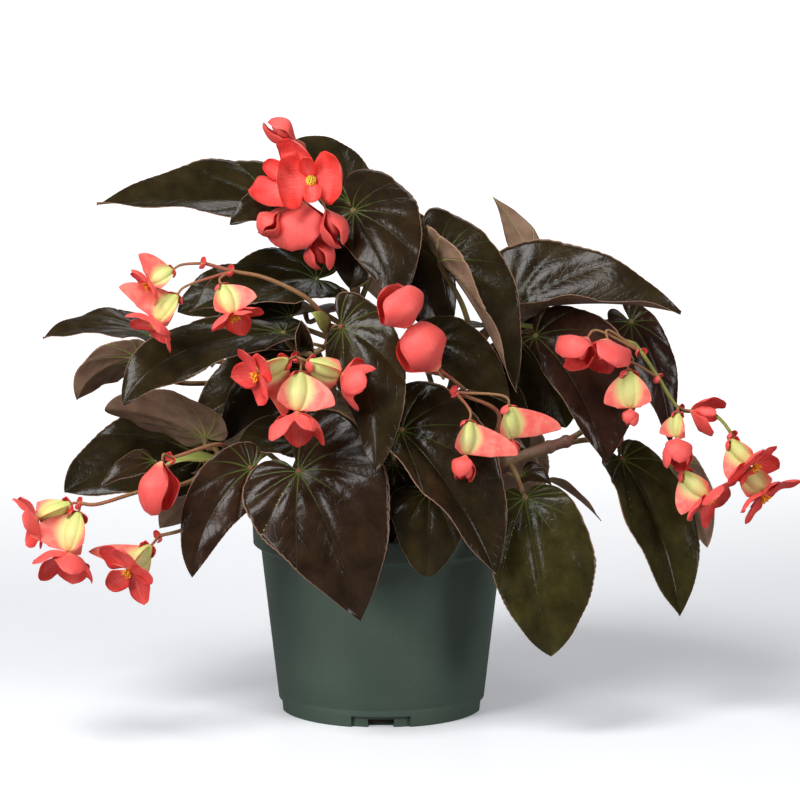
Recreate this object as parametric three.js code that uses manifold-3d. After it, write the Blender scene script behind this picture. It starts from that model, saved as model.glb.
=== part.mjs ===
import * as THREE from "three";
import { mergeVertices } from "three/addons/utils/BufferGeometryUtils.js";
import Module from "manifold-3d";

// A begonia with bronze leaves and coral blooms in a 6.5 inch nursery pot.
// Millimetres, +Z up, the origin under the middle of the pot, the photographed side towards -Y.

const wasm = await Module();
wasm.setup();

// Driving dimensions of the pot
const potTopDiameter = 165;
const potHeight = 120.65;
const potBaseDiameter = 130.6;
const potWall = 1.4;
const potSegments = 32;
const rimHeight = 13.5;
const rimChamfer = 4;
const rimStep = 5.5;
const rimWall = 2.2;
const edgeRound = 0.8;
const footHeight = 8;
const footWall = 3.9;
const floorThickness = 2;
const drainSlots = 4;
const drainWidth = 17;
const drainHeight = 5;
const recessWidth = 37;
const recessHeight = 7;
const recessDepth = 2.4;

// Driving dimensions of the soil and the plant
const soilBelowRim = 11;
const soilMound = 5;
const soilWaves = 1.2;
const soilSegments = 20;
const gap = 0.35;
const facetGap = 0.9;
const petioleGap = 0.25;
const rootGap = 0.95;
const bladeThickness = 0.8;
const petioleRadius = 1.9;
const youngPetioleRadius = 1.2;
const stalkRadius = 1.4;
const pedicelRadius = 0.9;
const rootSpread = 1.2;
const petalLayer = 1.1;
const notchRadius = 4;
const wingFoot = 0.5;
const wingTurn = Math.PI / 6;
const maleCup = 0.35;
const femaleCup = 0.3;
const closedTilt = 65;
const ovaryLength = 0.95;
const lobeShare = 0.36;
const edgeNotch = 0.035;

// Facets
const caneSides = 6;
const caneSteps = 6;
const stalkSides = 4;
const petioleSteps = 3;
const pedicelSteps = 2;
const rowLength = 11;
const leafRows = [5, 8];
const youngRows = 4;
const stipuleRows = 3;
const mergeDistance = 0.001;
const meshTolerance = 0.09;
const sliverVolume = 1;

const degrees = Math.PI / 180;
const soilTop = potHeight - soilBelowRim;
const rimRadius = potTopDiameter / 2;
const baseRadius = potBaseDiameter / 2;
const neckRadius = rimRadius - rimStep;
const neckHeight = potHeight - rimHeight - rimChamfer;

const colours = { pot: 0x46554b, soil: 0x2a1f18, stem: 0x7d6a3c, leaf: 0x2b2718, bloom: 0xee5c56 };

// Outlines of a leaf and of a stipule: half height of the sinus, how far the lobe starts from it, where
// the blade is widest, how long its shoulder is, and the last handle before the tip, all as shares of
// the length or half width.
const leafShape = { sinus: 0.04, claw: 0, widest: 0.22, shoulder: 0.4, point: [0.84, 0.18] };
const stipuleShape = { sinus: 0.3, claw: 0.1, widest: 0.35, shoulder: 0.4, point: [0.9, 0.2] };

// Length and half width of the wide and of the narrow tepals of a male and of a female bloom, as shares
// of its size.
const maleTepals = [[1, 0.66], [0.72, 0.23]];
const femaleTepals = [[1.05, 0.42], [0.9, 0.33]];

// The two rings of an ovary: place, body radius, both as shares of its length, and share of the wings'
// reach.
const ovaryRings = [[0.3, 0.2, 0.85], [0.82, 0.2, 1]];

// Canes: the line each one grows along, from the bottom of its hole in the soil, and its radius there
// and at its end.
const canes = {
  cane_back: { line: [[-8, 14, 92], [-12, 10, 170], [-15, 4, 250], [-20, -10, 300]], radius: [5, 2.4] },
  cane_left: { line: [[-26, -14, 92], [-30, -28, 160], [-31, -46, 215], [-31, -60, 252]], radius: [5, 3] },
  cane_low_left: {
    line: [[-36, 2, 92], [-46, -16, 128], [-70, -38, 154], [-104, -55, 169]],
    radius: [4.6, 3.2],
  },
  cane_low_right: {
    line: [[34, -10, 92], [48, -26, 132], [80, -48, 165], [118, -45, 179]],
    radius: [4.8, 3.4],
  },
  cane_right: { line: [[20, 22, 92], [32, 14, 165], [55, 6, 225], [76, 4, 252]], radius: [5, 2.8] },
};

// Leaves: base and tip of the midrib, how far its middle bows and where the upper face looks; the
// greatest half width left and right of the midrib, how far each half folds up (minus is down) and then
// curls, in degrees; how far each lobe reaches behind the base as a share of the length; where it is
// widest, the last handle before its tip, and where on its cane the petiole starts.
const leaves = {
  leaf_top_left: {
    base: [-68, -5, 324], tip: [-176, -40, 326], bow: [0, 0, 4], face: [0, -0.5, 0.87], half: [36, 33],
    fold: [14, 20], lobe: [0.15, 0.25], widest: 0.1, point: [0.84, 0.18], cane: "cane_back", at: 0.95,
  },
  leaf_top_small: {
    base: [-65, -40, 328], tip: [-93, -52, 314], bow: [0, 0, 2], face: [-0.2, -0.8, 0.5], half: [13, 12],
    fold: [10, 10], lobe: [0.1, 0.1], point: [0.9, 0.34], cane: "cane_back", at: 0.85,
    route: [[-44, -36, 308]],
  },
  leaf_top_back: {
    base: [-20, 12, 324], tip: [-54, 22, 363], bow: [2, 4, 4], face: [0.2, -0.9, 0.4], half: [21, 21],
    fold: [10, 10], lobe: [0.2, 0.2], point: [0.9, 0.34], cane: "cane_back", at: 0.92,
  },
  leaf_top_middle: {
    base: [-17, -40, 322], tip: [11, -80, 266], bow: [2, -4, 3], face: [0.1, -0.85, 0.5], half: [37, 17],
    fold: [0, -20], lobe: [0.45, 0.25], widest: 0.1, point: [0.9, 0.25], cane: "cane_back", at: 0.98,
    route: [[-10, -30, 305]],
  },
  leaf_middle_small: {
    base: [-12, -26, 299], tip: [-19, -40, 273], bow: [0, -6, 4], face: [0, -0.9, 0.4], half: [22, 20],
    fold: [10, 10], lobe: [0.2, 0.2], point: [0.9, 0.34], cane: "cane_back", at: 0.88,
  },
  leaf_upper_left: {
    base: [-41, -10, 277], tip: [-120, -30, 258], bow: [0, 0, 6], face: [-0.1, -0.6, 0.8], half: [28, 27],
    fold: [10, 10], lobe: [0.2, 0.2], point: [0.9, 0.3], cane: "cane_back", at: 0.8,
  },
  leaf_left_behind: {
    base: [-88, 30, 262], tip: [-131, 25, 252], bow: [0, 0, 3], face: [0, -0.7, 0.7], half: [24, 24],
    fold: [10, 10], lobe: [0.2, 0.2], point: [0.9, 0.34], cane: "cane_back", at: 0.7,
  },
  leaf_left_long: {
    base: [-61, -45, 247], tip: [-156, -95, 208], bow: [-14, -4, 10], face: [-0.1, -0.25, 0.95],
    faceTip: [-0.3, -0.85, 0.4], half: [28, 22], fold: [5, 10], lobe: [0.15, 0.15], widest: 0.35,
    point: [0.92, 0.4], cane: "cane_left", at: 0.93, route: [[-44, -54, 234]],
  },
  leaf_far_left: {
    base: [-148, 10, 239], tip: [-215, 0, 238], bow: [0, 0, 6], face: [0, -0.25, 0.97], half: [24, 26],
    fold: [8, 8], lobe: [0.2, 0.2], point: [0.9, 0.34], cane: "cane_back", at: 0.55,
    route: [[-80, 36, 215]],
  },
  leaf_left_turned: {
    base: [-153, -24, 228], tip: [-191, -30, 202], bow: [-6, 0, 4], face: [-0.2, 0.7, 0.6], half: [17, 19],
    fold: [10, 10], lobe: [0.2, 0.2], point: [0.9, 0.3], cane: "cane_back", at: 0.5,
    route: [[-80, 34, 205], [-132, -14, 212]],
  },
  leaf_left_under: {
    base: [-110, -38, 180], tip: [-172, -46, 199], bow: [0, 0, 4], face: [-0.1, 0.5, 0.85], half: [30, 34],
    fold: [10, 10], lobe: [0.2, 0.2], widest: 0.4, point: [0.95, 0.5], cane: "cane_low_left", at: 0.95,
  },
  leaf_left_round: {
    base: [-114, -6, 162], tip: [-198, -44, 146], bow: [0, 0, 8], face: [-0.2, -0.75, 0.6], half: [34, 38],
    fold: [5, 5], lobe: [0.2, 0.2], point: [0.93, 0.42], cane: "cane_low_left", at: 0.45,
    route: [[-84, 0, 150]],
  },
  leaf_left_lilac: {
    base: [-112, -10, 139], tip: [-141, -15, 118], bow: [0, 0, 4], face: [-0.2, 0.8, 0.5], half: [20, 20],
    fold: [6, 6], lobe: [0.2, 0.2], point: [0.9, 0.34], cane: "cane_low_left", at: 0.75,
    route: [[-84, -8, 140]],
  },
  leaf_low_left: {
    base: [-80, -78, 166], tip: [-115, -100, 102], bow: [-6, -6, 6], face: [-0.1, -0.95, 0.2],
    half: [18, 21], fold: [5, 5], lobe: [0.15, 0.2], point: [0.92, 0.35], cane: "cane_low_left", at: 0.7,
  },
  leaf_front: {
    base: [-50, -88, 166], tip: [-12, -114, 78], bow: [2, -8, 6], face: [0, -0.95, 0.3], half: [48, 41],
    fold: [4, 4], lobe: [0.36, 0.2], widest: 0.15, point: [0.88, 0.27], cane: "cane_left", at: 0.35,
  },
  leaf_front_left: {
    base: [-50, -54, 179], tip: [-88, -64, 177], bow: [0, 0, 4], face: [0, -0.6, 0.8], half: [18, 20],
    fold: [8, 8], lobe: [0.2, 0.2], point: [0.93, 0.42], cane: "cane_low_left", at: 0.5,
  },
  leaf_middle_hanging: {
    base: [-24, -72, 253], tip: [-3, -111, 168], bow: [6, -5, 6], face: [0, -0.9, 0.4], half: [28, 22],
    fold: [0, -40], lobe: [0.25, 0.06], point: [0.9, 0.34], cane: "cane_left", at: 0.98,
  },
  leaf_front_right: {
    base: [13, -80, 190], tip: [70, -110, 106], bow: [3, -6, 6], face: [0.1, -0.9, 0.4], half: [42, 26],
    fold: [0, 40], lobe: [0.25, 0.2], widest: 0.15, point: [0.9, 0.34], cane: "cane_low_right", at: 0.3,
  },
  leaf_low_right: {
    base: [89, -72, 147], tip: [104, -100, 53], bow: [0, -8, 2], face: [0, -1, 0.2], half: [36, 27],
    fold: [3, 3], lobe: [0.1, 0.1], widest: 0.42, point: [0.93, 0.42], cane: "cane_low_right", at: 0.7,
  },
  leaf_rim: {
    base: [30, -84, 152], tip: [28, -97, 102], bow: [0, -4, 6], face: [0, -0.9, 0.3], half: [26, 24],
    fold: [5, 5], lobe: [0.1, 0.1], point: [0.98, 0.5], cane: "cane_low_right", at: 0.25,
  },
  leaf_upper_right: {
    base: [38, -35, 290], tip: [84, -70, 212], bow: [1, -5, 5], face: [0.1, -0.9, 0.4], half: [34, 33],
    fold: [0, 80], curl: [0.1, 25], lobe: [0.42, 0.2], widest: 0.15, point: [0.88, 0.22],
    cane: "cane_right", at: 0.85,
  },
  leaf_right_long: {
    base: [83, 5, 255], tip: [189, -15, 256], bow: [0, 0, 6], face: [0, -0.42, 0.91], half: [46, 40],
    fold: [35, 35], lobe: [0.25, 0.15], widest: 0.12, point: [0.86, 0.24], cane: "cane_right", at: 0.98,
  },
  leaf_right_hanging: {
    base: [97, -22, 242], tip: [140, -50, 164], bow: [4, -5, 8], face: [0.1, -0.85, 0.5], half: [42, 14],
    fold: [5, 10], lobe: [0.14, 0.12], widest: 0.45, point: [0.9, 0.35], cane: "cane_right", at: 0.9,
  },
  leaf_right_behind: {
    base: [90, 40, 229], tip: [119, 18, 178], bow: [0, 0, 6], face: [0.1, -0.9, 0.4], half: [36, 34],
    fold: [5, 5], lobe: [0.2, 0.2], point: [0.93, 0.42], cane: "cane_right", at: 0.7,
    route: [[70, 40, 212]],
  },
  leaf_middle_right: {
    base: [28, -24, 238], tip: [80, -46, 202], bow: [0, 0, 6], face: [-0.1, -0.6, 0.8], half: [25, 25],
    fold: [8, 8], lobe: [0.2, 0.2], point: [0.9, 0.3], cane: "cane_right", at: 0.5,
  },
  leaf_far_right: {
    base: [153, -12, 162], tip: [188, -45, 67], bow: [4, -4, 6], face: [0.1, -0.95, 0.3], half: [26, 30],
    fold: [0, 45], lobe: [0.12, 0.1], widest: 0.45, point: [0.92, 0.36], cane: "cane_low_right", at: 0.98,
    route: [[134, -28, 185], [152, -7, 177]],
  },
  leaf_right_inner: {
    base: [161, 30, 245], tip: [186, 15, 169], bow: [4, 0, 6], face: [0.3, -0.8, 0.4], half: [16, 20],
    fold: [5, 5], lobe: [0.2, 0.2], point: [0.9, 0.34], cane: "cane_right", at: 0.8,
  },
  leaf_right_under: {
    base: [186, 30, 152], tip: [211, 22, 99], bow: [3, 0, 4], face: [0.4, 0.8, 0.3], half: [17, 18],
    fold: [8, 8], lobe: [0.1, 0.1], point: [0.9, 0.34], cane: "cane_low_right", at: 0.9,
  },
  leaf_inner_left: {
    base: [-58, 6, 251], tip: [-106, -14, 233], bow: [0, 0, 5], face: [0, -0.75, 0.65], half: [30, 30],
    fold: [8, 8], lobe: [0.2, 0.2], point: [0.9, 0.34], cane: "cane_back", at: 0.6,
  },
  leaf_inner_low: {
    base: [-60, 4, 206], tip: [-118, -12, 186], bow: [0, 0, 5], face: [0, -0.8, 0.6], half: [32, 32],
    fold: [8, 8], lobe: [0.2, 0.2], point: [0.9, 0.34], cane: "cane_back", at: 0.4,
  },
  leaf_back_left: {
    base: [-50, 55, 250], tip: [-115, 120, 205], bow: [-4, 4, 10], face: [-0.3, 0.5, 0.8], half: [42, 39],
    fold: [10, 10], lobe: [0.25, 0.2], point: [0.9, 0.34], cane: "cane_back", at: 0.75,
  },
  leaf_back_top: {
    base: [0, 50, 290], tip: [10, 140, 235], bow: [0, 8, 12], face: [0, 0.5, 0.85], half: [42, 38],
    fold: [12, 12], lobe: [0.2, 0.25], point: [0.9, 0.34], cane: "cane_back", at: 0.85,
  },
  leaf_back_right: {
    base: [70, 58, 240], tip: [140, 116, 190], bow: [4, 4, 12], face: [0.3, 0.5, 0.8], half: [38, 40],
    fold: [10, 10], lobe: [0.2, 0.2], point: [0.9, 0.34], cane: "cane_right", at: 0.75,
  },
  leaf_back_low_right: {
    base: [62, 72, 172], tip: [100, 128, 100], bow: [4, 6, 8], face: [0.4, 0.8, 0.4], half: [36, 34],
    fold: [6, 6], lobe: [0.2, 0.2], point: [0.9, 0.34], cane: "cane_right", at: 0.35,
  },
  leaf_back_low: {
    base: [-10, 88, 180], tip: [-20, 132, 95], bow: [0, 8, 8], face: [0, 0.9, 0.4], half: [40, 42],
    fold: [6, 6], lobe: [0.25, 0.25], point: [0.9, 0.34], cane: "cane_back", at: 0.4,
  },
  leaf_back_low_left: {
    base: [-85, 50, 170], tip: [-145, 90, 105], bow: [-4, 4, 10], face: [-0.5, 0.7, 0.5], half: [34, 36],
    fold: [6, 6], lobe: [0.2, 0.2], point: [0.9, 0.34], cane: "cane_low_left", at: 0.35,
  },
  leaf_middle_back: {
    base: [8, 7, 302], tip: [40, -5, 232], bow: [3, -2, 5], face: [0.1, -0.85, 0.5], half: [26, 26],
    fold: [5, 5], lobe: [0.2, 0.2], point: [0.9, 0.34], cane: "cane_back", at: 0.78,
  },
  leaf_front_inner: {
    base: [8, -50, 165], tip: [2, -68, 112], bow: [0, -5, 4], face: [0, -0.9, 0.35], half: [18, 22],
    fold: [5, 5], lobe: [0.2, 0.2], point: [0.9, 0.34], cane: "cane_right", at: 0.2,
  },
  leaf_inner_middle: {
    base: [-46, -22, 220], tip: [-99, -40, 178], bow: [-4, 0, 6], face: [-0.1, -0.75, 0.65],
    half: [21, 21], fold: [6, 6], lobe: [0.2, 0.2], point: [0.93, 0.42], cane: "cane_left", at: 0.6,
  },
  leaf_inner_right: {
    base: [56, -20, 206], tip: [92, -34, 170], bow: [2, -2, 4], face: [0.1, -0.9, 0.4], half: [22, 24],
    fold: [5, 5], lobe: [0.2, 0.2], point: [0.9, 0.34], cane: "cane_right", at: 0.35,
  },
};

// Young leaves, too small to stand alone, and stipules: fused to their cane.
const youngLeaves = [
  {
    base: [97, 55, 283], tip: [72, 62, 324], bow: [3, 0, 0], face: [-0.3, 0.8, 0.4],
    half: [11, 11], fold: [15, 15], cane: "cane_right", at: 0.9,
  },
  {
    base: [-46, -80, 240], tip: [-48, -90, 259], bow: [0, -3, 0], face: [0, -0.9, 0.3],
    half: [11, 11], fold: [30, 30], curl: [60, 60], cane: "cane_left", at: 0.9,
  },
  {
    base: [-140, -60, 168], tip: [-174, -75, 153], bow: [0, 0, 3], face: [-0.2, -0.7, 0.7],
    half: [10, 11], fold: [10, 10], cane: "cane_low_left", at: 0.98,
  },
  {
    base: [88, -51, 158], tip: [106, -62, 153], bow: [0, 0, 3], face: [0, -0.7, 0.7],
    half: [9, 9], fold: [10, 10], cane: "cane_low_right", at: 0.6,
  },
  {
    base: [105, -26, 151], tip: [139, -28, 125], bow: [0, 0, 3], face: [0.3, 0.3, 0.9],
    half: [8, 9], fold: [20, 20], cane: "cane_low_right", at: 0.8,
  },
];
const stipules = [
  {
    at: 0.85, tip: [-12, -34, 290], bow: [3, -2, 0], face: [0.3, -0.9, 0.2],
    half: [6, 6], fold: [10, 10], cane: "cane_back",
  },
  {
    at: 0.97, tip: [-42, -76, 262], bow: [0, -3, 2], face: [0.3, -0.8, 0.4],
    half: [6, 6], fold: [10, 10], cane: "cane_left",
  },
  {
    at: 0.97, tip: [-134, -66, 166], bow: [0, -3, 4], face: [0, -0.6, 0.8],
    half: [5, 5], fold: [10, 10], cane: "cane_low_left",
  },
  {
    at: 0.82, tip: [-70, -60, 172], bow: [0, -2, 2], face: [0.2, -0.8, 0.5],
    half: [5, 5], fold: [10, 10], cane: "cane_low_left",
  },
];

// Flower sprays: a stalk beside its cane that carries blooms, each branching from one of the points of
// its line. A male bloom has two round tepals, two narrow ones and, when open, stamens; a female one a
// winged ovary with five tepals beyond it. Each has its place, the way it looks, its roll in degrees or
// the way its first wing aims, its size, how far its tepals close, in degrees, the shares of the full
// width and of the full size its tepals have, and the reach of its wings as shares of its size.
const sprays = {
  spray_top: {
    cane: "cane_back", at: 1, line: [[-30, -20, 308], [-50, -30, 325], [-48, -32, 350]],
    blooms: [
      {
        kind: "male", at: [-42, -66, 342], face: [-0.12, -0.97, 0.1], roll: 8, size: 25, open: 38,
        branch: 2,
      },
      {
        kind: "male", at: [-56, -44, 342], face: [-0.5, -0.75, 0.3], roll: 65, size: 26, open: 35,
        branch: 2,
      },
      {
        kind: "male", at: [-50, -50, 329], face: [-0.05, -0.1, -0.98], roll: 80, size: 31, open: 66,
        branch: 1,
      },
      {
        kind: "male", at: [-62, -58, 322], face: [-0.7, -0.1, -0.7], roll: 90, size: 19, open: 80,
        width: 0.85, branch: 1,
      },
      {
        kind: "male", at: [-34, -62, 325], face: [0.4, -0.1, -0.9], roll: 80, size: 25, open: 78,
        width: 0.55, branch: 1,
      },
      {
        kind: "male", at: [-42, -52, 307], face: [0.35, -0.1, -0.93], roll: 80, size: 23, open: 74,
        width: 0.6, branch: 1,
      },
      {
        kind: "male", at: [-52, -36, 365], face: [-0.85, -0.1, 0.5], roll: 80, size: 23, open: 76,
        width: 0.5, branch: 2,
      },
    ],
  },
  spray_left: {
    cane: "cane_left", at: 1,
    line: [
      [-40, -66, 265], [-49, -72, 273], [-72, -78, 284], [-90, -82, 288], [-107, -83, 293],
    ],
    blooms: [
      {
        kind: "female", at: [-126, -86, 289], face: [-0.8, -0.35, -0.5], aim: [-0.4, -0.1, 0.9],
        size: 17, open: 25, wings: [1.15, 0.5, 0.5], branch: 4,
      },
      {
        kind: "female", at: [-123, -92, 274], face: [-0.55, -0.3, -0.75], aim: [-0.95, -0.1, 0.2],
        size: 21, open: 25, wings: [1.5, 0.55, 0.5], branch: 3,
      },
      {
        kind: "female", at: [-96, -90, 280], face: [0.35, -0.35, -0.85], aim: [0.9, -0.2, 0.3],
        size: 20, open: 20, wings: [0.9, 0.65, 0.6], branch: 3,
      },
    ],
  },
  spray_middle_left: {
    cane: "cane_left", at: 0.8, line: [[-40, -74, 222], [-50, -92, 236]],
    blooms: [
      {
        kind: "female", at: [-56, -104, 236], face: [-0.8, -0.5, -0.35], aim: [0.2, -0.1, -1],
        size: 22, open: 12, wings: [1.35, 0.5, 0.5], branch: 1,
      },
      {
        kind: "female", at: [-48, -109, 229], face: [-0.08, -0.35, -0.93], aim: [1, -0.3, 0.1],
        size: 25, open: 45, wings: [0.95, 0.65, 0.6], branch: 1,
      },
      {
        kind: "female", at: [-43, -111, 236], face: [0.8, 0.1, -0.35], aim: [0, 0.2, -1], size: 22,
        open: 44, wings: [0.6, 0.5, 0.5], branch: 1,
      },
    ],
  },
  spray_far_left: {
    cane: "cane_low_left", at: 0.97,
    line: [
      [-118, -74, 157], [-146, -91, 154], [-174, -105, 148], [-182, -105, 149],
    ],
    blooms: [
      {
        kind: "female", at: [-188, -104, 148], face: [-0.85, -0.2, -0.35], aim: [0, 0.3, -1], size: 22,
        open: 25, wings: [0.6, 0.5, 0.5], branch: 3,
      },
      {
        kind: "female", at: [-183, -107, 143], face: [-0.2, -0.45, -0.88], aim: [-1, -0.2, 0],
        size: 26, open: 38, wings: [0.95, 0.6, 0.55], branch: 3,
      },
    ],
  },
  spray_low_left: {
    cane: "cane_low_left", at: 0.86, line: [[-106, -76, 146], [-119, -88, 131], [-135, -95, 127]],
    blooms: [
      {
        kind: "female", at: [-140, -105, 122], face: [-0.5, -0.7, -0.5], aim: [-1, 0, -0.15], size: 23,
        open: 12, wings: [1.45, 0.5, 0.5], branch: 2,
      },
    ],
  },
  spray_left_closed: {
    cane: "cane_low_left", at: 0.9, line: [[-98, -72, 180], [-127, -94, 175]],
    blooms: [
      {
        kind: "male", at: [-132, -104, 175], face: [-0.15, -0.1, -0.98], roll: 75, size: 32, open: 76,
        width: 0.6, branch: 1,
      },
    ],
  },
  spray_middle: {
    cane: "cane_right", at: 0.62, line: [[50, -30, 208], [51, -58, 213], [36, -75, 227]],
    blooms: [
      {
        kind: "male", at: [17, -99, 255], face: [-0.35, -0.2, 0.9], roll: 8, size: 28, open: 74,
        width: 0.8, branch: 2,
      },
      {
        kind: "male", at: [35, -93, 228], face: [-0.55, -0.15, 0.8], roll: 5, size: 32, open: 74,
        width: 0.75, branch: 2,
      },
    ],
  },
  spray_right_winged: {
    cane: "cane_low_right", at: 0.55, line: [[70, -60, 180], [72, -72, 200], [46, -84, 214]],
    blooms: [
      {
        kind: "female", at: [54, -100, 198], face: [-0.12, -0.2, -0.97], aim: [1, -0.1, -0.1],
        size: 21, open: 72, wings: [1.5, 0.6, 0.6], petals: 0.75, branch: 2,
      },
      {
        kind: "female", at: [78, -92, 206], face: [0.12, 0.1, -0.98], aim: [1, -0.1, -0.15], size: 21,
        open: 75, wings: [1.45, 0.6, 0.5], petals: 0.45, branch: 2,
      },
    ],
  },
  spray_right: {
    cane: "cane_right", at: 0.97,
    line: [
      [154, -18, 238], [161, -48, 235], [172, -45, 219], [187, -45, 198], [202, -55, 199],
      [211, -58, 193], [217, -60, 185],
    ],
    blooms: [
      {
        kind: "male", at: [128, -58, 245], face: [-0.6, -0.35, -0.7], roll: 80, size: 23, open: 70,
        width: 0.9, branch: 1,
      },
      {
        kind: "male", at: [140, -56, 244], face: [0.05, -0.5, -0.85], roll: 60, size: 23, open: 66,
        width: 0.9, branch: 1,
      },
      {
        kind: "female", at: [153, -60, 224], face: [0.05, -0.15, -0.98], aim: [-1, -0.3, 0], size: 24,
        open: 70, wings: [0.72, 0.7, 0.7], petals: 0.45, branch: 2,
      },
      {
        kind: "female", at: [184, -56, 197], face: [-0.05, -0.4, -0.9], aim: [-1, 0.2, 0.2], size: 16,
        open: 70, wings: [0.7, 0.6, 0.6], petals: 1.25, branch: 3,
      },
      {
        kind: "male", at: [192, -50, 198], face: [0.93, -0.25, -0.15], roll: 60, size: 23, open: 66,
        width: 0.7, branch: 3,
      },
      {
        kind: "female", at: [216, -64, 181], face: [0.6, -0.5, -0.6], aim: [-0.5, -0.2, -0.8],
        size: 22, open: 10, wings: [0.8, 0.5, 0.5], branch: 6,
      },
      {
        kind: "female", at: [223, -60, 164], face: [0.55, -0.35, -0.7], roll: 50, size: 23, open: 10,
        wings: [0.5, 0.5, 0.5], branch: 6,
      },
      {
        kind: "female", at: [187, -62, 161], face: [0.65, -0.4, -0.6], aim: [-0.5, -0.2, -0.8],
        size: 23, open: 18, wings: [0.85, 0.5, 0.5], branch: 3,
      },
    ],
  },
};

const v3 = (p) => (p.isVector3 ? p.clone() : new THREE.Vector3(...p));
const lerp = THREE.MathUtils.lerp;
const curveOf = (points) => new THREE.CatmullRomCurve3(points.map(v3));

// The cubic Bezier curve through four values.
function bezier(a, b, c, d, t) {
  const u = 1 - t;
  return a * u ** 3 + 3 * b * t * u ** 2 + 3 * c * t ** 2 * u + d * t ** 3;
}

// The edge of one half of a blade at s from 0, in the sinus behind the base, to 1, at the tip: x along
// the midrib as a share of its length, y across it as a share of the greatest half width.
function edgeOf(lobe, { sinus, claw, widest, shoulder, point }, s) {
  if (s < lobeShare) {
    const t = s / lobeShare;
    return [bezier(0, claw - 1.5 * lobe, claw - 1.1 * lobe, widest, t), bezier(sinus, sinus, 1, 1, t)];
  }
  const t = (s - lobeShare) / (1 - lobeShare);
  return [bezier(widest, widest + shoulder * (1 - widest), point[0], 1, t), bezier(1, 1, point[1], 0, t)];
}

// A blade bent in space: the midrib is a quadratic curve from base to tip, and each half leaves it at
// its fold angle and goes on turning by its curl. Gives the point and the normal at flat place (x, y),
// with y minus on the left.
function bentBlade(leaf) {
  const base = v3(leaf.base);
  const tip = v3(leaf.tip);
  const middle = base.clone().add(tip).multiplyScalar(0.5).addScaledVector(v3(leaf.bow), 2);
  const length = base.distanceTo(tip);
  const face = v3(leaf.face);
  const faceTip = v3(leaf.faceTip ?? leaf.face);
  const curl = leaf.curl ?? [0, 0];
  return (x, y) => {
    const t = Math.max(x, 0);
    const before = base.clone().lerp(middle, t);
    const after = middle.clone().lerp(tip, t);
    const along = after.clone().sub(before).normalize();
    const spine = before.lerp(after, t);
    if (x < 0) spine.addScaledVector(along, x * length);
    const up = face.clone().lerp(faceTip, t);
    up.addScaledVector(along, -up.dot(along)).normalize();
    const right = along.clone().cross(up);
    const side = y < 0 ? 0 : 1;
    const sign = y < 0 ? -1 : 1;
    const half = leaf.half[side];
    const start = leaf.fold[side] * degrees;
    const turn = (Math.abs(curl[side]) < 0.1 ? 0.1 : curl[side]) * degrees;
    const q = Math.abs(y);
    const end = start + turn * q;
    const across = (half * (Math.sin(end) - Math.sin(start))) / turn;
    const rise = (half * (Math.cos(start) - Math.cos(end))) / turn;
    const point = spine.addScaledVector(right, sign * across).addScaledVector(up, rise);
    const lean = q > 0 ? end : 0;
    const normal = up.clone().multiplyScalar(Math.cos(lean)).addScaledVector(right, -sign * Math.sin(lean));
    return { point, normal };
  };
}

// Merges shared corners, drops triangles that have shrunk to a line and turns the faces outwards.
function tidy(source) {
  const geometry = source.clone();
  geometry.deleteAttribute("normal");
  geometry.deleteAttribute("uv");
  const merged = mergeVertices(geometry, mergeDistance);
  const index = merged.index.array;
  const kept = [];
  for (let i = 0; i < index.length; i += 3) {
    const [a, b, c] = [index[i], index[i + 1], index[i + 2]];
    if (a !== b && b !== c && c !== a) kept.push(a, b, c);
  }
  const p = merged.attributes.position;
  let volume = 0;
  for (let i = 0; i < kept.length; i += 3) {
    const [a, b, c] = [0, 1, 2].map((k) => new THREE.Vector3().fromBufferAttribute(p, kept[i + k]));
    volume += a.dot(b.cross(c));
  }
  if (volume < 0) kept.reverse();
  merged.setIndex(kept);
  return merged;
}

// Collects triangles corner by corner into one closed body.
function shell() {
  const positions = [];
  const add = (...corners) => {
    for (const c of corners) positions.push(c.x, c.y, c.z);
  };
  const close = () => {
    const soup = new THREE.BufferGeometry();
    soup.setAttribute("position", new THREE.Float32BufferAttribute(positions, 3));
    return tidy(soup);
  };
  return { add, close };
}

// A sheet of even thickness: each triangle is laid on both faces, and each edge of the rim gets a wall.
function thick() {
  const { add, close } = shell();
  const half = bladeThickness / 2;
  const shift = ({ point, normal }, sign) => point.clone().addScaledVector(normal, sign * half);
  const face = (a, b, c) => {
    add(shift(a, 1), shift(b, 1), shift(c, 1));
    add(shift(a, -1), shift(c, -1), shift(b, -1));
  };
  const wall = (a, b) => {
    add(shift(b, 1), shift(a, 1), shift(a, -1));
    add(shift(b, 1), shift(a, -1), shift(b, -1));
  };
  return { face, wall, close };
}

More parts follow.
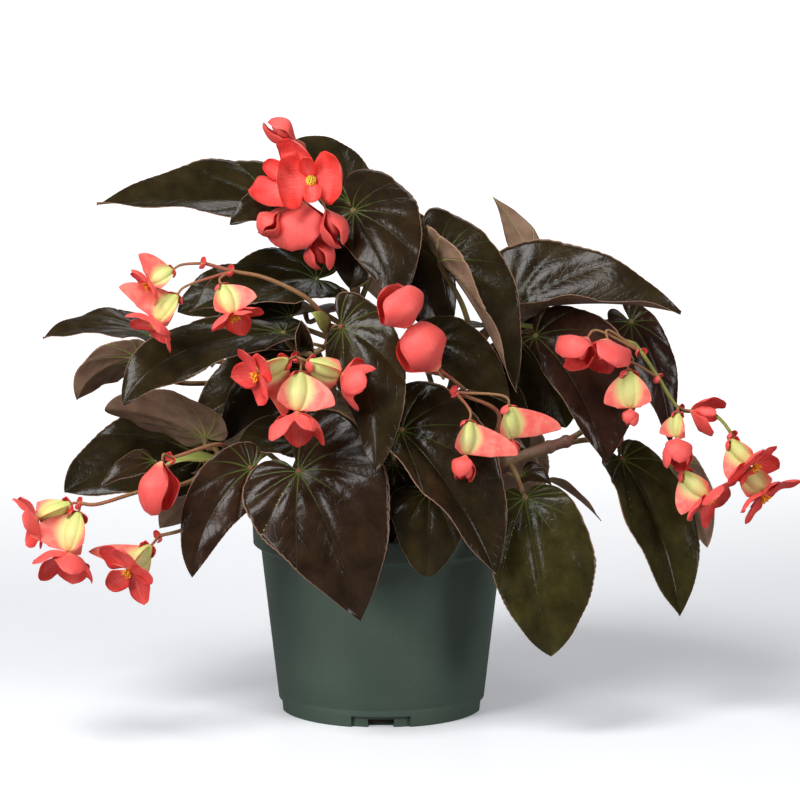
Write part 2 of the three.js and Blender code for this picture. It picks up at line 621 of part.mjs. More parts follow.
// A blade: rows of cells from the sinus to the tip on each side of the midrib, the rim cut in and out by
// the notch.
function blade(leaf, shape, rows, columns, notch) {
  const at = bentBlade(leaf);
  const lobe = leaf.lobe ?? [0, 0];
  const ribLobe = (lobe[0] + lobe[1]) / 2;
  const outline = { ...shape, widest: leaf.widest ?? shape.widest, point: leaf.point ?? shape.point };
  const { face, wall, close } = thick();
  const cell = (side, row, column) => {
    const s = row / rows;
    const [x, y] = edgeOf(lobe[side], outline, s);
    const cut = row > 1 && row < rows - 1 ? 1 + notch * (row % 2 ? 1 : -1) : 1;
    const rib = Math.max(edgeOf(ribLobe, outline, s)[0], 0) ** 1.3;
    const v = column / columns;
    return at(rib + (x - rib) * v, (side ? 1 : -1) * y * cut * v);
  };
  for (const side of [0, 1]) {
    const lay = (corners, make) => make(...(side ? corners : corners.reverse()));
    for (let row = 0; row < rows; row++) {
      for (let column = 0; column < columns; column++) {
        const a = cell(side, row, column);
        const b = cell(side, row, column + 1);
        const c = cell(side, row + 1, column + 1);
        const d = cell(side, row + 1, column);
        lay([a, b, c], face);
        lay([a, c, d], face);
      }
      lay([cell(side, row, columns), cell(side, row + 1, columns)], wall);
    }
    for (let column = 0; column < columns; column++) {
      lay([cell(side, 0, column), cell(side, 0, column + 1)], wall);
    }
  }
  return close();
}

function leafBlade(leaf) {
  const length = v3(leaf.base).distanceTo(v3(leaf.tip));
  const rows = THREE.MathUtils.clamp(Math.round(length / rowLength), ...leafRows);
  return blade(leaf, leafShape, rows, rows > leafRows[0] ? 2 : 1, edgeNotch);
}

// A closed tube along a smooth line through the points, with its radius going from one value to another.
function tube(points, radii, sides, steps) {
  const curve = curveOf(points);
  const { normals, binormals } = curve.computeFrenetFrames(steps);
  const rings = Array.from({ length: steps + 1 }, (_, i) => {
    const centre = curve.getPointAt(i / steps);
    const radius = lerp(radii[0], radii[1], i / steps);
    return Array.from({ length: sides }, (__, k) => {
      const angle = (2 * Math.PI * k) / sides;
      const out = normals[i].clone().multiplyScalar(Math.cos(angle));
      return out.addScaledVector(binormals[i], Math.sin(angle)).multiplyScalar(radius).add(centre);
    });
  });
  const { add, close } = shell();
  for (let k = 0; k < sides; k++) {
    const next = (k + 1) % sides;
    for (let i = 0; i < steps; i++) {
      add(rings[i][k], rings[i][next], rings[i + 1][next]);
      add(rings[i][k], rings[i + 1][next], rings[i + 1][k]);
    }
    if (k > 0 && k < sides - 1) {
      add(rings[0][0], rings[0][next], rings[0][k]);
      add(rings[steps][0], rings[steps][k], rings[steps][next]);
    }
  }
  return close();
}

function solidOf(geometry) {
  const merged = tidy(geometry);
  const vertProperties = merged.attributes.position.array;
  const triVerts = Uint32Array.from(merged.index.array);
  return new wasm.Manifold(new wasm.Mesh({ numProp: 3, vertProperties, triVerts }));
}

function geometryOf(solid) {
  const mesh = solid.getMesh();
  const geometry = new THREE.BufferGeometry();
  geometry.setAttribute("position", new THREE.BufferAttribute(mesh.vertProperties, 3));
  geometry.setIndex(new THREE.BufferAttribute(mesh.triVerts, 1));
  return geometry;
}

// Unites closed bodies into one, dropping slivers too small to be part of the plant.
function fuse(geometries) {
  const whole = geometries.map(solidOf).reduce((sum, piece) => sum.add(piece));
  const bodies = whole.decompose().filter((body) => body.volume() > sliverVolume);
  return geometryOf(bodies.reduce((sum, piece) => sum.add(piece)).simplify(meshTolerance));
}

function lathe(profile, segments) {
  const outline = profile.map(([r, z]) => new THREE.Vector2(r, z));
  return new THREE.LatheGeometry(outline, segments).rotateX(Math.PI / 2);
}

// The pot: rim band, chamfer and taper turned as one shell; each drain is a slot in the middle of a
// shallow recess.
function pot() {
  const footInside = baseRadius - footWall;
  const profile = [
    [0, 0], [baseRadius - edgeRound, 0], [baseRadius, edgeRound], [neckRadius, neckHeight],
    [rimRadius - edgeRound, potHeight - rimHeight], [rimRadius, potHeight - edgeRound],
    [rimRadius - edgeRound, potHeight], [rimRadius - rimWall + edgeRound, potHeight],
    [rimRadius - rimWall, potHeight - rimHeight], [neckRadius - potWall, neckHeight],
    [baseRadius - potWall, footHeight + rimWall], [footInside, footHeight], [footInside, floorThickness],
    [0, floorThickness],
  ];
  const bar = (depth, width, height, turn) => {
    const box = new THREE.BoxGeometry(depth, width, height + 1).translate(baseRadius, 0, (height - 1) / 2);
    return solidOf(box.rotateZ(turn));
  };
  const coreRadius = baseRadius - recessDepth;
  const coreProfile = [[0, -1], [coreRadius, -1], [coreRadius, recessWidth], [0, recessWidth]];
  const core = solidOf(lathe(coreProfile, potSegments));
  let solid = solidOf(lathe(profile, potSegments));
  for (let i = 0; i < drainSlots; i++) {
    const turn = (2 * Math.PI * i) / drainSlots - Math.PI / 2;
    solid = solid.subtract(bar(drainWidth, recessWidth, recessHeight, turn).subtract(core));
    solid = solid.subtract(bar(drainWidth, drainWidth, drainHeight, turn));
  }
  return geometryOf(solid);
}

// The soil fills the pot to a low uneven mound, with a plain hole for each cane.
function soil() {
  const bottom = floorThickness + gap;
  const clear = gap + facetGap;
  const foot = baseRadius - footWall - clear;
  const neck = neckRadius - potWall - clear;
  const rim = rimRadius - rimWall - clear;
  const profile = [
    [0, bottom], [foot, bottom], [foot, footHeight + 1], [neck, neckHeight - 1], [rim - 1, soilTop - 2],
    [rim * 0.8, soilTop + 1], [rim * 0.5, soilTop + soilMound * 0.6], [0, soilTop + soilMound],
  ];
  const body = lathe(profile, soilSegments);
  const p = body.attributes.position;
  for (let i = 0; i < p.count; i++) {
    if (p.getZ(i) > soilTop) {
      p.setZ(i, p.getZ(i) + soilWaves * Math.sin(p.getX(i) * 0.13 + 1) * Math.cos(p.getY(i) * 0.17));
    }
  }
  let solid = solidOf(body);
  for (const { line, radius } of Object.values(canes)) {
    const curve = curveOf(line);
    const way = curve.getTangentAt(0.06);
    const low = curve.getPointAt(0).addScaledVector(way, -gap);
    const high = low.clone().addScaledVector(way, potHeight / 3);
    const bore = radius[0] + clear;
    solid = solid.subtract(solidOf(tube([low, high], [bore, bore], caneSides + 2, 1)));
  }
  return geometryOf(solid);
}

// A petiole from its place on the cane, arriving below the blade and stopping short of it by a gap, or
// meeting it.
function petiole(leaf, radius, apart) {
  const at = bentBlade(leaf);
  const { point, normal } = at(0, 0);
  const ahead = at(0.02, 0).point.sub(point).normalize();
  const arrive = ahead.multiplyScalar(0.5).addScaledVector(normal, 0.9).normalize();
  const tilt = radius * Math.sqrt(1 - arrive.dot(normal) ** 2);
  const dip = radius * Math.sin(-Math.min(0, ...leaf.fold) * degrees);
  const below = bladeThickness / 2 + petioleGap + tilt + dip;
  const end = apart ? point.addScaledVector(normal, -below) : point;
  const start = curveOf(canes[leaf.cane].line).getPointAt(leaf.at);
  const reach = start.distanceTo(end);
  const halfway = start.clone().lerp(end, 0.4);
  halfway.z += reach * 0.08;
  const last = end.clone().addScaledVector(arrive, -Math.min(8, reach * 0.3));
  const line = [start, ...(leaf.route ?? [halfway]), last, end];
  return tube(line, [radius * rootSpread, radius], stalkSides, petioleSteps);
}

// The tepals of one bloom as one lobed sheet round its centre. A lobe leaves at its angle round the way
// the bloom looks, leans towards it by its tilt, is cupped along its middle and stands its layer's
// height in front.
function corolla(centre, looks, across, lobes, cup) {
  const corners = [{ point: centre, normal: looks }];
  const { face, wall, close } = thick();
  const rim = [];
  const frames = lobes.map((lobe) => {
    const radial = across.clone().applyAxisAngle(looks, lobe.angle * degrees);
    const lean = lobe.tilt * degrees;
    return {
      ...lobe,
      aside: looks.clone().cross(radial),
      way: radial.clone().multiplyScalar(Math.cos(lean)).addScaledVector(looks, Math.sin(lean)),
      inner: looks.clone().multiplyScalar(Math.cos(lean)).addScaledVector(radial, -Math.sin(lean)),
      foot: centre.clone().addScaledVector(looks, lobe.layer * petalLayer),
    };
  });
  const patches = frames.map((lobe, i) => {
    const before = frames[(i + frames.length - 1) % frames.length];
    const notchWay = lobe.way.clone().add(before.way).normalize();
    const notch = centre.clone().addScaledVector(notchWay, notchRadius);
    const place = (along, out, rise) => {
      const point = lobe.foot.clone().addScaledVector(lobe.way, along * lobe.length);
      point.addScaledVector(lobe.aside, out * lobe.width);
      point.addScaledVector(lobe.inner, rise * cup * lobe.width);
      return { point, normal: lobe.inner };
    };
    const first = corners.length;
    corners.push({ point: notch, normal: lobe.inner.clone().add(before.inner).normalize() });
    corners.push(place(0.6, 0, -1), place(0.5, -1, 0), place(0.93, -0.5, 0));
    corners.push(place(0.93, 0.5, 0), place(0.5, 1, 0));
    const [n, rib, a, b, c, d] = [0, 1, 2, 3, 4, 5].map((k) => first + k);
    const after = i === frames.length - 1 ? 1 : first + 6;
    rim.push(n, a, b, c, d);
    const middle = [[0, n, rib], [0, rib, after], [rib, b, c]];
    return [...middle, [n, a, rib], [after, rib, d], [rib, a, b], [rib, c, d]];
  });
  for (const patch of patches.flat()) face(...patch.map((k) => corners[k]));
  rim.forEach((k, i) => wall(corners[k], corners[rim[(i + 1) % rim.length]]));
  return close();
}

// A winged ovary from the bloom's stalk to its tepals: two rings, each with its place, the radius of its
// body and the reach of its three blunt-edged wings.
function ovary(start, looks, across, length, wings) {
  const place = (along, radius, angle) => {
    const out = across.clone().applyAxisAngle(looks, angle);
    return start.clone().addScaledVector(looks, along).addScaledVector(out, radius);
  };
  const loops = ovaryRings.map(([along, body, reach]) => wings.flatMap((wing, i) => {
    const middle = (i * 2 * Math.PI) / 3 + wingTurn;
    const outer = Math.max(reach * wing, body * length * 1.15);
    const blunt = bladeThickness / 2 / outer;
    const turns = [[-wingFoot, body * length], [-blunt, outer], [blunt, outer], [wingFoot, body * length]];
    return turns.map(([turn, radius]) => place(along * length, radius, middle + turn));
  }));
  const low = place(-bladeThickness, 0, 0);
  const high = place(length, 0, 0);
  const { add, close } = shell();
  const count = loops[0].length;
  for (let k = 0; k < count; k++) {
    const next = (k + 1) % count;
    add(low, loops[0][next], loops[0][k]);
    add(loops[0][k], loops[0][next], loops[1][next]);
    add(loops[0][k], loops[1][next], loops[1][k]);
    add(high, loops[1][k], loops[1][next]);
  }
  return close();
}

// The stamens of a male bloom: a small turned head on a short foot.
function stamens(start, looks) {
  const profile = [[0, -2.5], [1.8, -1], [2, 3], [3, 6], [0, 8]];
  const head = new THREE.LatheGeometry(profile.map(([r, h]) => new THREE.Vector2(r, h)), 5);
  head.applyQuaternion(new THREE.Quaternion().setFromUnitVectors(new THREE.Vector3(0, 1, 0), looks));
  return head.translate(start.x, start.y, start.z);
}

function bloomParts({ kind, at, face, roll = 0, aim, size, open, width = 1, petals = 1, wings }) {
  const looks = v3(face).normalize();
  const level = new THREE.Vector3(0, 0, 1).cross(looks).normalize().applyAxisAngle(looks, roll * degrees);
  const across = aim ? v3(aim).projectOnPlane(looks).normalize().applyAxisAngle(looks, -wingTurn) : level;
  const start = v3(at);
  const ring = (count, wide, narrow) => Array.from({ length: count }, (_, i) => {
    const [length, half] = (i % 2 ? narrow : wide).map((share) => share * size * petals);
    return { angle: (360 * i) / count, length, width: half * width, tilt: open, layer: i % 2 };
  });
  if (kind === "male") {
    const whole = corolla(start, looks, across, ring(4, ...maleTepals), maleCup * (1 - open / 90));
    return open < closedTilt ? [stamens(start, looks), whole] : [whole];
  }
  const length = size * ovaryLength;
  const centre = start.clone().addScaledVector(looks, length);
  return [
    ovary(start, looks, across, length, wings.map((wing) => wing * size)),
    corolla(centre, looks, across, ring(5, ...femaleTepals), femaleCup),
  ];
}

// The stalk of one bloom, from where it branches off to the back of the bloom.
function pedicel(from, { at, face }) {
  const looks = v3(face).normalize();
  const end = v3(at).addScaledVector(looks, bladeThickness / 2);
  const last = end.clone().addScaledVector(looks, -Math.min(6, end.distanceTo(from) * 0.35));
  return tube([from, last, end], [pedicelRadius * rootSpread, pedicelRadius], stalkSides, pedicelSteps);
}

// A spray: its stalk starts beside the cane, a gap away, and the blooms' own stalks branch from its
// rings.
function spray({ cane, at, line, blooms }) {
  const { line: caneLine, radius } = canes[cane];
  const curve = curveOf(caneLine);
  const root = curve.getPointAt(at);
  const along = curve.getTangentAt(at);
  const away = v3(line[0]).sub(root);
  away.addScaledVector(along, -away.dot(along)).normalize();
  const start = root.addScaledVector(away, lerp(...radius, at) + rootGap);
  const points = [start, ...line.map(v3)];
  const steps = points.length + 1;
  const rings = curveOf(points).getSpacedPoints(steps);
  const nearest = (p) => rings.reduce((a, b) => (a.distanceTo(p) < b.distanceTo(p) ? a : b));
  return fuse([
    tube(points, [stalkRadius * rootSpread, stalkRadius], stalkSides, steps),
    ...blooms.map((bloom) => pedicel(nearest(points[bloom.branch + 1]), bloom)),
    ...blooms.flatMap(bloomParts),
  ]);
}

// A cane with everything of the same growth: petioles, stipules and its smallest leaves.
function canePlant(name) {
  const { line, radius } = canes[name];
  const own = (list) => list.filter((item) => item.cane === name);
  const young = own(youngLeaves);
  const scales = own(stipules).map((leaf) => ({ ...leaf, base: curveOf(line).getPointAt(leaf.at) }));
  return fuse([
    tube(line, radius, caneSides, caneSteps),
    ...own(Object.values(leaves)).map((leaf) => petiole(leaf, petioleRadius, true)),
    ...young.map((leaf) => petiole(leaf, youngPetioleRadius, false)),
    ...young.map((leaf) => blade(leaf, stipuleShape, youngRows, 1, 0)),
    ...scales.map((leaf) => blade(leaf, stipuleShape, stipuleRows, 1, 0)),
  ]);
}

const plant = new THREE.Group();

function add(name, geometry, color, roughness) {
  const mesh = new THREE.Mesh(geometry, new THREE.MeshStandardMaterial({ color, roughness, metalness: 0 }));
  mesh.name = name;
  plant.add(mesh);
}

add("pot", pot(), colours.pot, 0.55);
add("soil", soil(), colours.soil, 0.95);
for (const name of Object.keys(canes)) add(name, canePlant(name), colours.stem, 0.5);
for (const [name, leaf] of Object.entries(leaves)) add(name, leafBlade(leaf), colours.leaf, 0.35);
for (const [name, plan] of Object.entries(sprays)) add(name, spray(plan), colours.bloom, 0.45);

export default plant;
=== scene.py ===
import math

import bmesh
import bpy
import numpy as np
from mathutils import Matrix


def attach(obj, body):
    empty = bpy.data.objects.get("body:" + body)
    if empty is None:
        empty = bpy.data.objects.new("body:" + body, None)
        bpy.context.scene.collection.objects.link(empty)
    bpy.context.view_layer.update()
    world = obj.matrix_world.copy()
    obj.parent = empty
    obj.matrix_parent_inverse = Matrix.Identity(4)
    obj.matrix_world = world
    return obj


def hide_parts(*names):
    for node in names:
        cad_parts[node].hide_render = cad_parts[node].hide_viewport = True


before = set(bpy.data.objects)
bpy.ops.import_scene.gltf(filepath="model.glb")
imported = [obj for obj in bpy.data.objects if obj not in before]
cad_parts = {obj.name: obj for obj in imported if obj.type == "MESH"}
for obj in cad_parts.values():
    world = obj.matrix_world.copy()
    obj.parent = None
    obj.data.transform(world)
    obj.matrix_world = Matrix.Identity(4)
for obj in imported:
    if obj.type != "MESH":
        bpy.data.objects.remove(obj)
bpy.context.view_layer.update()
print("frame loaded with", len(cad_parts), "nodes")

mm = 0.001
degree = math.pi / 180

# the camera stands where the photographer stood, a little above the leaves and looking slightly down
cameraPlace = dict(x=0.0119, back=2.014, height=0.463, pitch=7.49, lens=143.53, sensor=36)

cameraData = bpy.data.cameras.new("viewCamera")
cameraData.lens = cameraPlace["lens"]
cameraData.sensor_width = cameraPlace["sensor"]
camera = bpy.data.objects.new("viewCamera", cameraData)
camera.location = (cameraPlace["x"], -cameraPlace["back"], cameraPlace["height"])
camera.rotation_euler = (math.radians(90 - cameraPlace["pitch"]), 0, 0)
bpy.context.scene.collection.objects.link(camera)
bpy.context.scene.camera = camera
print("camera placed")

# the layout of the plant, in millimetres; it is the same as in the solids
canePlan = dict(
    cane_back=dict(line=[[-8, 14, 92], [-12, 10, 170], [-15, 4, 250], [-20, -10, 300]], radius=[5, 2.4]),
    cane_left=dict(line=[[-26, -14, 92], [-30, -28, 160], [-31, -46, 215], [-31, -60, 252]], radius=[5, 3]),
    cane_low_left=dict(
        line=[[-36, 2, 92], [-46, -16, 128], [-70, -38, 154], [-104, -55, 169]], radius=[4.6, 3.2],
    ),
    cane_low_right=dict(
        line=[[34, -10, 92], [48, -26, 132], [80, -48, 165], [118, -45, 179]], radius=[4.8, 3.4],
    ),
    cane_right=dict(line=[[20, 22, 92], [32, 14, 165], [55, 6, 225], [76, 4, 252]], radius=[5, 2.8]),
)
leafUsual = dict(fold=[10, 10], lobe=[0.2, 0.2], point=[0.9, 0.34])  # where a leaf's own plan is silent
leafPlan = dict(
    leaf_top_left=dict(
        base=[-68, -5, 324], tip=[-176, -40, 326], bow=[0, 0, 4], face=[0, -0.5, 0.87], half=[36, 33],
        fold=[14, 20], lobe=[0.15, 0.25], widest=0.1, point=[0.84, 0.18], cane="cane_back", at=0.95,
    ),
    leaf_top_small=dict(
        base=[-65, -40, 328], tip=[-93, -52, 314], bow=[0, 0, 2], face=[-0.2, -0.8, 0.5], half=[13, 12],
        lobe=[0.1, 0.1], cane="cane_back", at=0.85, route=[[-44, -36, 308]],
    ),
    leaf_top_back=dict(
        base=[-20, 12, 324], tip=[-54, 22, 363], bow=[2, 4, 4], face=[0.2, -0.9, 0.4], half=[21, 21],
        cane="cane_back", at=0.92,
    ),
    leaf_top_middle=dict(
        base=[-17, -40, 322], tip=[11, -80, 266], bow=[2, -4, 3], face=[0.1, -0.85, 0.5], half=[37, 17],
        fold=[0, -20], lobe=[0.45, 0.25], widest=0.1, point=[0.9, 0.25], cane="cane_back", at=0.98,
        route=[[-10, -30, 305]],
    ),
    leaf_middle_small=dict(
        base=[-12, -26, 299], tip=[-19, -40, 273], bow=[0, -6, 4], face=[0, -0.9, 0.4], half=[22, 20],
        cane="cane_back", at=0.88,
    ),
    leaf_upper_left=dict(
        base=[-41, -10, 277], tip=[-120, -30, 258], bow=[0, 0, 6], face=[-0.1, -0.6, 0.8], half=[28, 27],
        point=[0.9, 0.3], cane="cane_back", at=0.8,
    ),
    leaf_left_behind=dict(
        base=[-88, 30, 262], tip=[-131, 25, 252], bow=[0, 0, 3], face=[0, -0.7, 0.7], half=[24, 24],
        cane="cane_back", at=0.7,
    ),
    leaf_left_long=dict(
        base=[-61, -45, 247], tip=[-156, -95, 208], bow=[-14, -4, 10], face=[-0.1, -0.25, 0.95],
        faceTip=[-0.3, -0.85, 0.4], half=[28, 22], fold=[5, 10], lobe=[0.15, 0.15], widest=0.35,
        point=[0.92, 0.4], cane="cane_left", at=0.93, route=[[-44, -54, 234]],
    ),
    leaf_far_left=dict(
        base=[-148, 10, 239], tip=[-215, 0, 238], bow=[0, 0, 6], face=[0, -0.25, 0.97], half=[24, 26],
        fold=[8, 8], cane="cane_back", at=0.55, route=[[-80, 36, 215]],
    ),
    leaf_left_turned=dict(
        base=[-153, -24, 228], tip=[-191, -30, 202], bow=[-6, 0, 4], face=[-0.2, 0.7, 0.6], half=[17, 19],
        point=[0.9, 0.3], cane="cane_back", at=0.5, route=[[-80, 34, 205], [-132, -14, 212]],
    ),
    leaf_left_under=dict(
        base=[-110, -38, 180], tip=[-172, -46, 199], bow=[0, 0, 4], face=[-0.1, 0.5, 0.85], half=[30, 34],
        widest=0.4, point=[0.95, 0.5], cane="cane_low_left", at=0.95,
    ),
    leaf_left_round=dict(
        base=[-114, -6, 162], tip=[-198, -44, 146], bow=[0, 0, 8], face=[-0.2, -0.75, 0.6], half=[34, 38],
        fold=[5, 5], point=[0.93, 0.42], cane="cane_low_left", at=0.45, route=[[-84, 0, 150]],
    ),
    leaf_left_lilac=dict(
        base=[-112, -10, 139], tip=[-141, -15, 118], bow=[0, 0, 4], face=[-0.2, 0.8, 0.5], half=[20, 20],
        fold=[6, 6], cane="cane_low_left", at=0.75, route=[[-84, -8, 140]],
    ),
    leaf_low_left=dict(
        base=[-80, -78, 166], tip=[-115, -100, 102], bow=[-6, -6, 6], face=[-0.1, -0.95, 0.2], half=[18, 21],
        fold=[5, 5], lobe=[0.15, 0.2], point=[0.92, 0.35], cane="cane_low_left", at=0.7,
    ),
    leaf_front=dict(
        base=[-50, -88, 166], tip=[-12, -114, 78], bow=[2, -8, 6], face=[0, -0.95, 0.3], half=[48, 41],
        fold=[4, 4], lobe=[0.36, 0.2], widest=0.15, point=[0.88, 0.27], cane="cane_left", at=0.35,
    ),
    leaf_front_left=dict(
        base=[-50, -54, 179], tip=[-88, -64, 177], bow=[0, 0, 4], face=[0, -0.6, 0.8], half=[18, 20],
        fold=[8, 8], point=[0.93, 0.42], cane="cane_low_left", at=0.5,
    ),
    leaf_middle_hanging=dict(
        base=[-24, -72, 253], tip=[-3, -111, 168], bow=[6, -5, 6], face=[0, -0.9, 0.4], half=[28, 22],
        fold=[0, -40], lobe=[0.25, 0.06], cane="cane_left", at=0.98,
    ),
    leaf_front_right=dict(
        base=[13, -80, 190], tip=[70, -110, 106], bow=[3, -6, 6], face=[0.1, -0.9, 0.4], half=[42, 26],
        fold=[0, 40], lobe=[0.25, 0.2], widest=0.15, cane="cane_low_right", at=0.3,
    ),
    leaf_low_right=dict(
        base=[89, -72, 147], tip=[104, -100, 53], bow=[0, -8, 2], face=[0, -1, 0.2], half=[36, 27],
        fold=[3, 3], lobe=[0.1, 0.1], widest=0.42, point=[0.93, 0.42], cane="cane_low_right", at=0.7,
    ),
    leaf_rim=dict(
        base=[30, -84, 152], tip=[28, -97, 102], bow=[0, -4, 6], face=[0, -0.9, 0.3], half=[26, 24],
        fold=[5, 5], lobe=[0.1, 0.1], point=[0.98, 0.5], cane="cane_low_right", at=0.25,
    ),
    leaf_upper_right=dict(
        base=[38, -35, 290], tip=[84, -70, 212], bow=[1, -5, 5], face=[0.1, -0.9, 0.4], half=[34, 33],
        fold=[0, 80], curl=[0.1, 25], lobe=[0.42, 0.2], widest=0.15, point=[0.88, 0.22], cane="cane_right",
        at=0.85,
    ),
    leaf_right_long=dict(
        base=[83, 5, 255], tip=[189, -15, 256], bow=[0, 0, 6], face=[0, -0.42, 0.91], half=[46, 40],
        fold=[35, 35], lobe=[0.25, 0.15], widest=0.12, point=[0.86, 0.24], cane="cane_right", at=0.98,
    ),
    leaf_right_hanging=dict(
        base=[97, -22, 242], tip=[140, -50, 164], bow=[4, -5, 8], face=[0.1, -0.85, 0.5], half=[42, 14],
        fold=[5, 10], lobe=[0.14, 0.12], widest=0.45, point=[0.9, 0.35], cane="cane_right", at=0.9,
    ),
    leaf_right_behind=dict(
        base=[90, 40, 229], tip=[119, 18, 178], bow=[0, 0, 6], face=[0.1, -0.9, 0.4], half=[36, 34],
        fold=[5, 5], point=[0.93, 0.42], cane="cane_right", at=0.7, route=[[70, 40, 212]],
    ),
    leaf_middle_right=dict(
        base=[28, -24, 238], tip=[80, -46, 202], bow=[0, 0, 6], face=[-0.1, -0.6, 0.8], half=[25, 25],
        fold=[8, 8], point=[0.9, 0.3], cane="cane_right", at=0.5,
    ),
    leaf_far_right=dict(
        base=[153, -12, 162], tip=[188, -45, 67], bow=[4, -4, 6], face=[0.1, -0.95, 0.3], half=[26, 30],
        fold=[0, 45], lobe=[0.12, 0.1], widest=0.45, point=[0.92, 0.36], cane="cane_low_right", at=0.98,
        route=[[134, -28, 185], [152, -7, 177]],
    ),
    leaf_right_inner=dict(
        base=[161, 30, 245], tip=[186, 15, 169], bow=[4, 0, 6], face=[0.3, -0.8, 0.4], half=[16, 20],
        fold=[5, 5], cane="cane_right", at=0.8,
    ),
    leaf_right_under=dict(
        base=[186, 30, 152], tip=[211, 22, 99], bow=[3, 0, 4], face=[0.4, 0.8, 0.3], half=[17, 18],
        fold=[8, 8], lobe=[0.1, 0.1], cane="cane_low_right", at=0.9,
    ),
    leaf_inner_left=dict(
        base=[-58, 6, 251], tip=[-106, -14, 233], bow=[0, 0, 5], face=[0, -0.75, 0.65], half=[30, 30],
        fold=[8, 8], cane="cane_back", at=0.6,
    ),
    leaf_inner_low=dict(
        base=[-60, 4, 206], tip=[-118, -12, 186], bow=[0, 0, 5], face=[0, -0.8, 0.6], half=[32, 32],
        fold=[8, 8], cane="cane_back", at=0.4,
    ),
    leaf_back_left=dict(
        base=[-50, 55, 250], tip=[-115, 120, 205], bow=[-4, 4, 10], face=[-0.3, 0.5, 0.8], half=[42, 39],
        lobe=[0.25, 0.2], cane="cane_back", at=0.75,
    ),
    leaf_back_top=dict(
        base=[0, 50, 290], tip=[10, 140, 235], bow=[0, 8, 12], face=[0, 0.5, 0.85], half=[42, 38],
        fold=[12, 12], lobe=[0.2, 0.25], cane="cane_back", at=0.85,
    ),
    leaf_back_right=dict(
        base=[70, 58, 240], tip=[140, 116, 190], bow=[4, 4, 12], face=[0.3, 0.5, 0.8], half=[38, 40],
        cane="cane_right", at=0.75,
    ),
    leaf_back_low_right=dict(
        base=[62, 72, 172], tip=[100, 128, 100], bow=[4, 6, 8], face=[0.4, 0.8, 0.4], half=[36, 34],
        fold=[6, 6], cane="cane_right", at=0.35,
    ),
    leaf_back_low=dict(
        base=[-10, 88, 180], tip=[-20, 132, 95], bow=[0, 8, 8], face=[0, 0.9, 0.4], half=[40, 42],
        fold=[6, 6], lobe=[0.25, 0.25], cane="cane_back", at=0.4,
    ),
    leaf_back_low_left=dict(
        base=[-85, 50, 170], tip=[-145, 90, 105], bow=[-4, 4, 10], face=[-0.5, 0.7, 0.5], half=[34, 36],
        fold=[6, 6], cane="cane_low_left", at=0.35,
    ),
    leaf_middle_back=dict(
        base=[8, 7, 302], tip=[40, -5, 232], bow=[3, -2, 5], face=[0.1, -0.85, 0.5], half=[26, 26],
        fold=[5, 5], cane="cane_back", at=0.78,
    ),
    leaf_front_inner=dict(
        base=[8, -50, 165], tip=[2, -68, 112], bow=[0, -5, 4], face=[0, -0.9, 0.35], half=[18, 22],
        fold=[5, 5], cane="cane_right", at=0.2,
    ),
    leaf_inner_middle=dict(
        base=[-46, -22, 220], tip=[-99, -40, 178], bow=[-4, 0, 6], face=[-0.1, -0.75, 0.65], half=[21, 21],
        fold=[6, 6], point=[0.93, 0.42], cane="cane_left", at=0.6,
    ),
    leaf_inner_right=dict(
        base=[56, -20, 206], tip=[92, -34, 170], bow=[2, -2, 4], face=[0.1, -0.9, 0.4], half=[22, 24],
        fold=[5, 5], cane="cane_right", at=0.35,
    ),
)
leafPlan = {name: dict(leafUsual, **plan) for name, plan in leafPlan.items()}
youngPlan = [
    dict(
        base=[97, 55, 283], tip=[72, 62, 324], bow=[3, 0, 0], face=[-0.3, 0.8, 0.4], half=[11, 11],
        fold=[15, 15], cane="cane_right", at=0.9,
    ),
    dict(
        base=[-46, -80, 240], tip=[-48, -90, 259], bow=[0, -3, 0], face=[0, -0.9, 0.3], half=[11, 11],
        fold=[30, 30], curl=[60, 60], cane="cane_left", at=0.9,
    ),
    dict(
        base=[-140, -60, 168], tip=[-174, -75, 153], bow=[0, 0, 3], face=[-0.2, -0.7, 0.7], half=[10, 11],
        fold=[10, 10], cane="cane_low_left", at=0.98,
    ),
    dict(
        base=[88, -51, 158], tip=[106, -62, 153], bow=[0, 0, 3], face=[0, -0.7, 0.7], half=[9, 9],
        fold=[10, 10], cane="cane_low_right", at=0.6,
    ),
    dict(
        base=[105, -26, 151], tip=[139, -28, 125], bow=[0, 0, 3], face=[0.3, 0.3, 0.9], half=[8, 9],
        fold=[20, 20], cane="cane_low_right", at=0.8,
    ),
]
stipulePlan = [
    dict(
        at=0.85, tip=[-12, -34, 290], bow=[3, -2, 0], face=[0.3, -0.9, 0.2], half=[6, 6], fold=[10, 10],
        cane="cane_back",
    ),
    dict(
        at=0.97, tip=[-42, -76, 262], bow=[0, -3, 2], face=[0.3, -0.8, 0.4], half=[6, 6], fold=[10, 10],
        cane="cane_left",
    ),
    dict(
        at=0.97, tip=[-134, -66, 166], bow=[0, -3, 4], face=[0, -0.6, 0.8], half=[5, 5], fold=[10, 10],
        cane="cane_low_left",
    ),
    dict(
        at=0.82, tip=[-70, -60, 172], bow=[0, -2, 2], face=[0.2, -0.8, 0.5], half=[5, 5], fold=[10, 10],
        cane="cane_low_left",
    ),
]
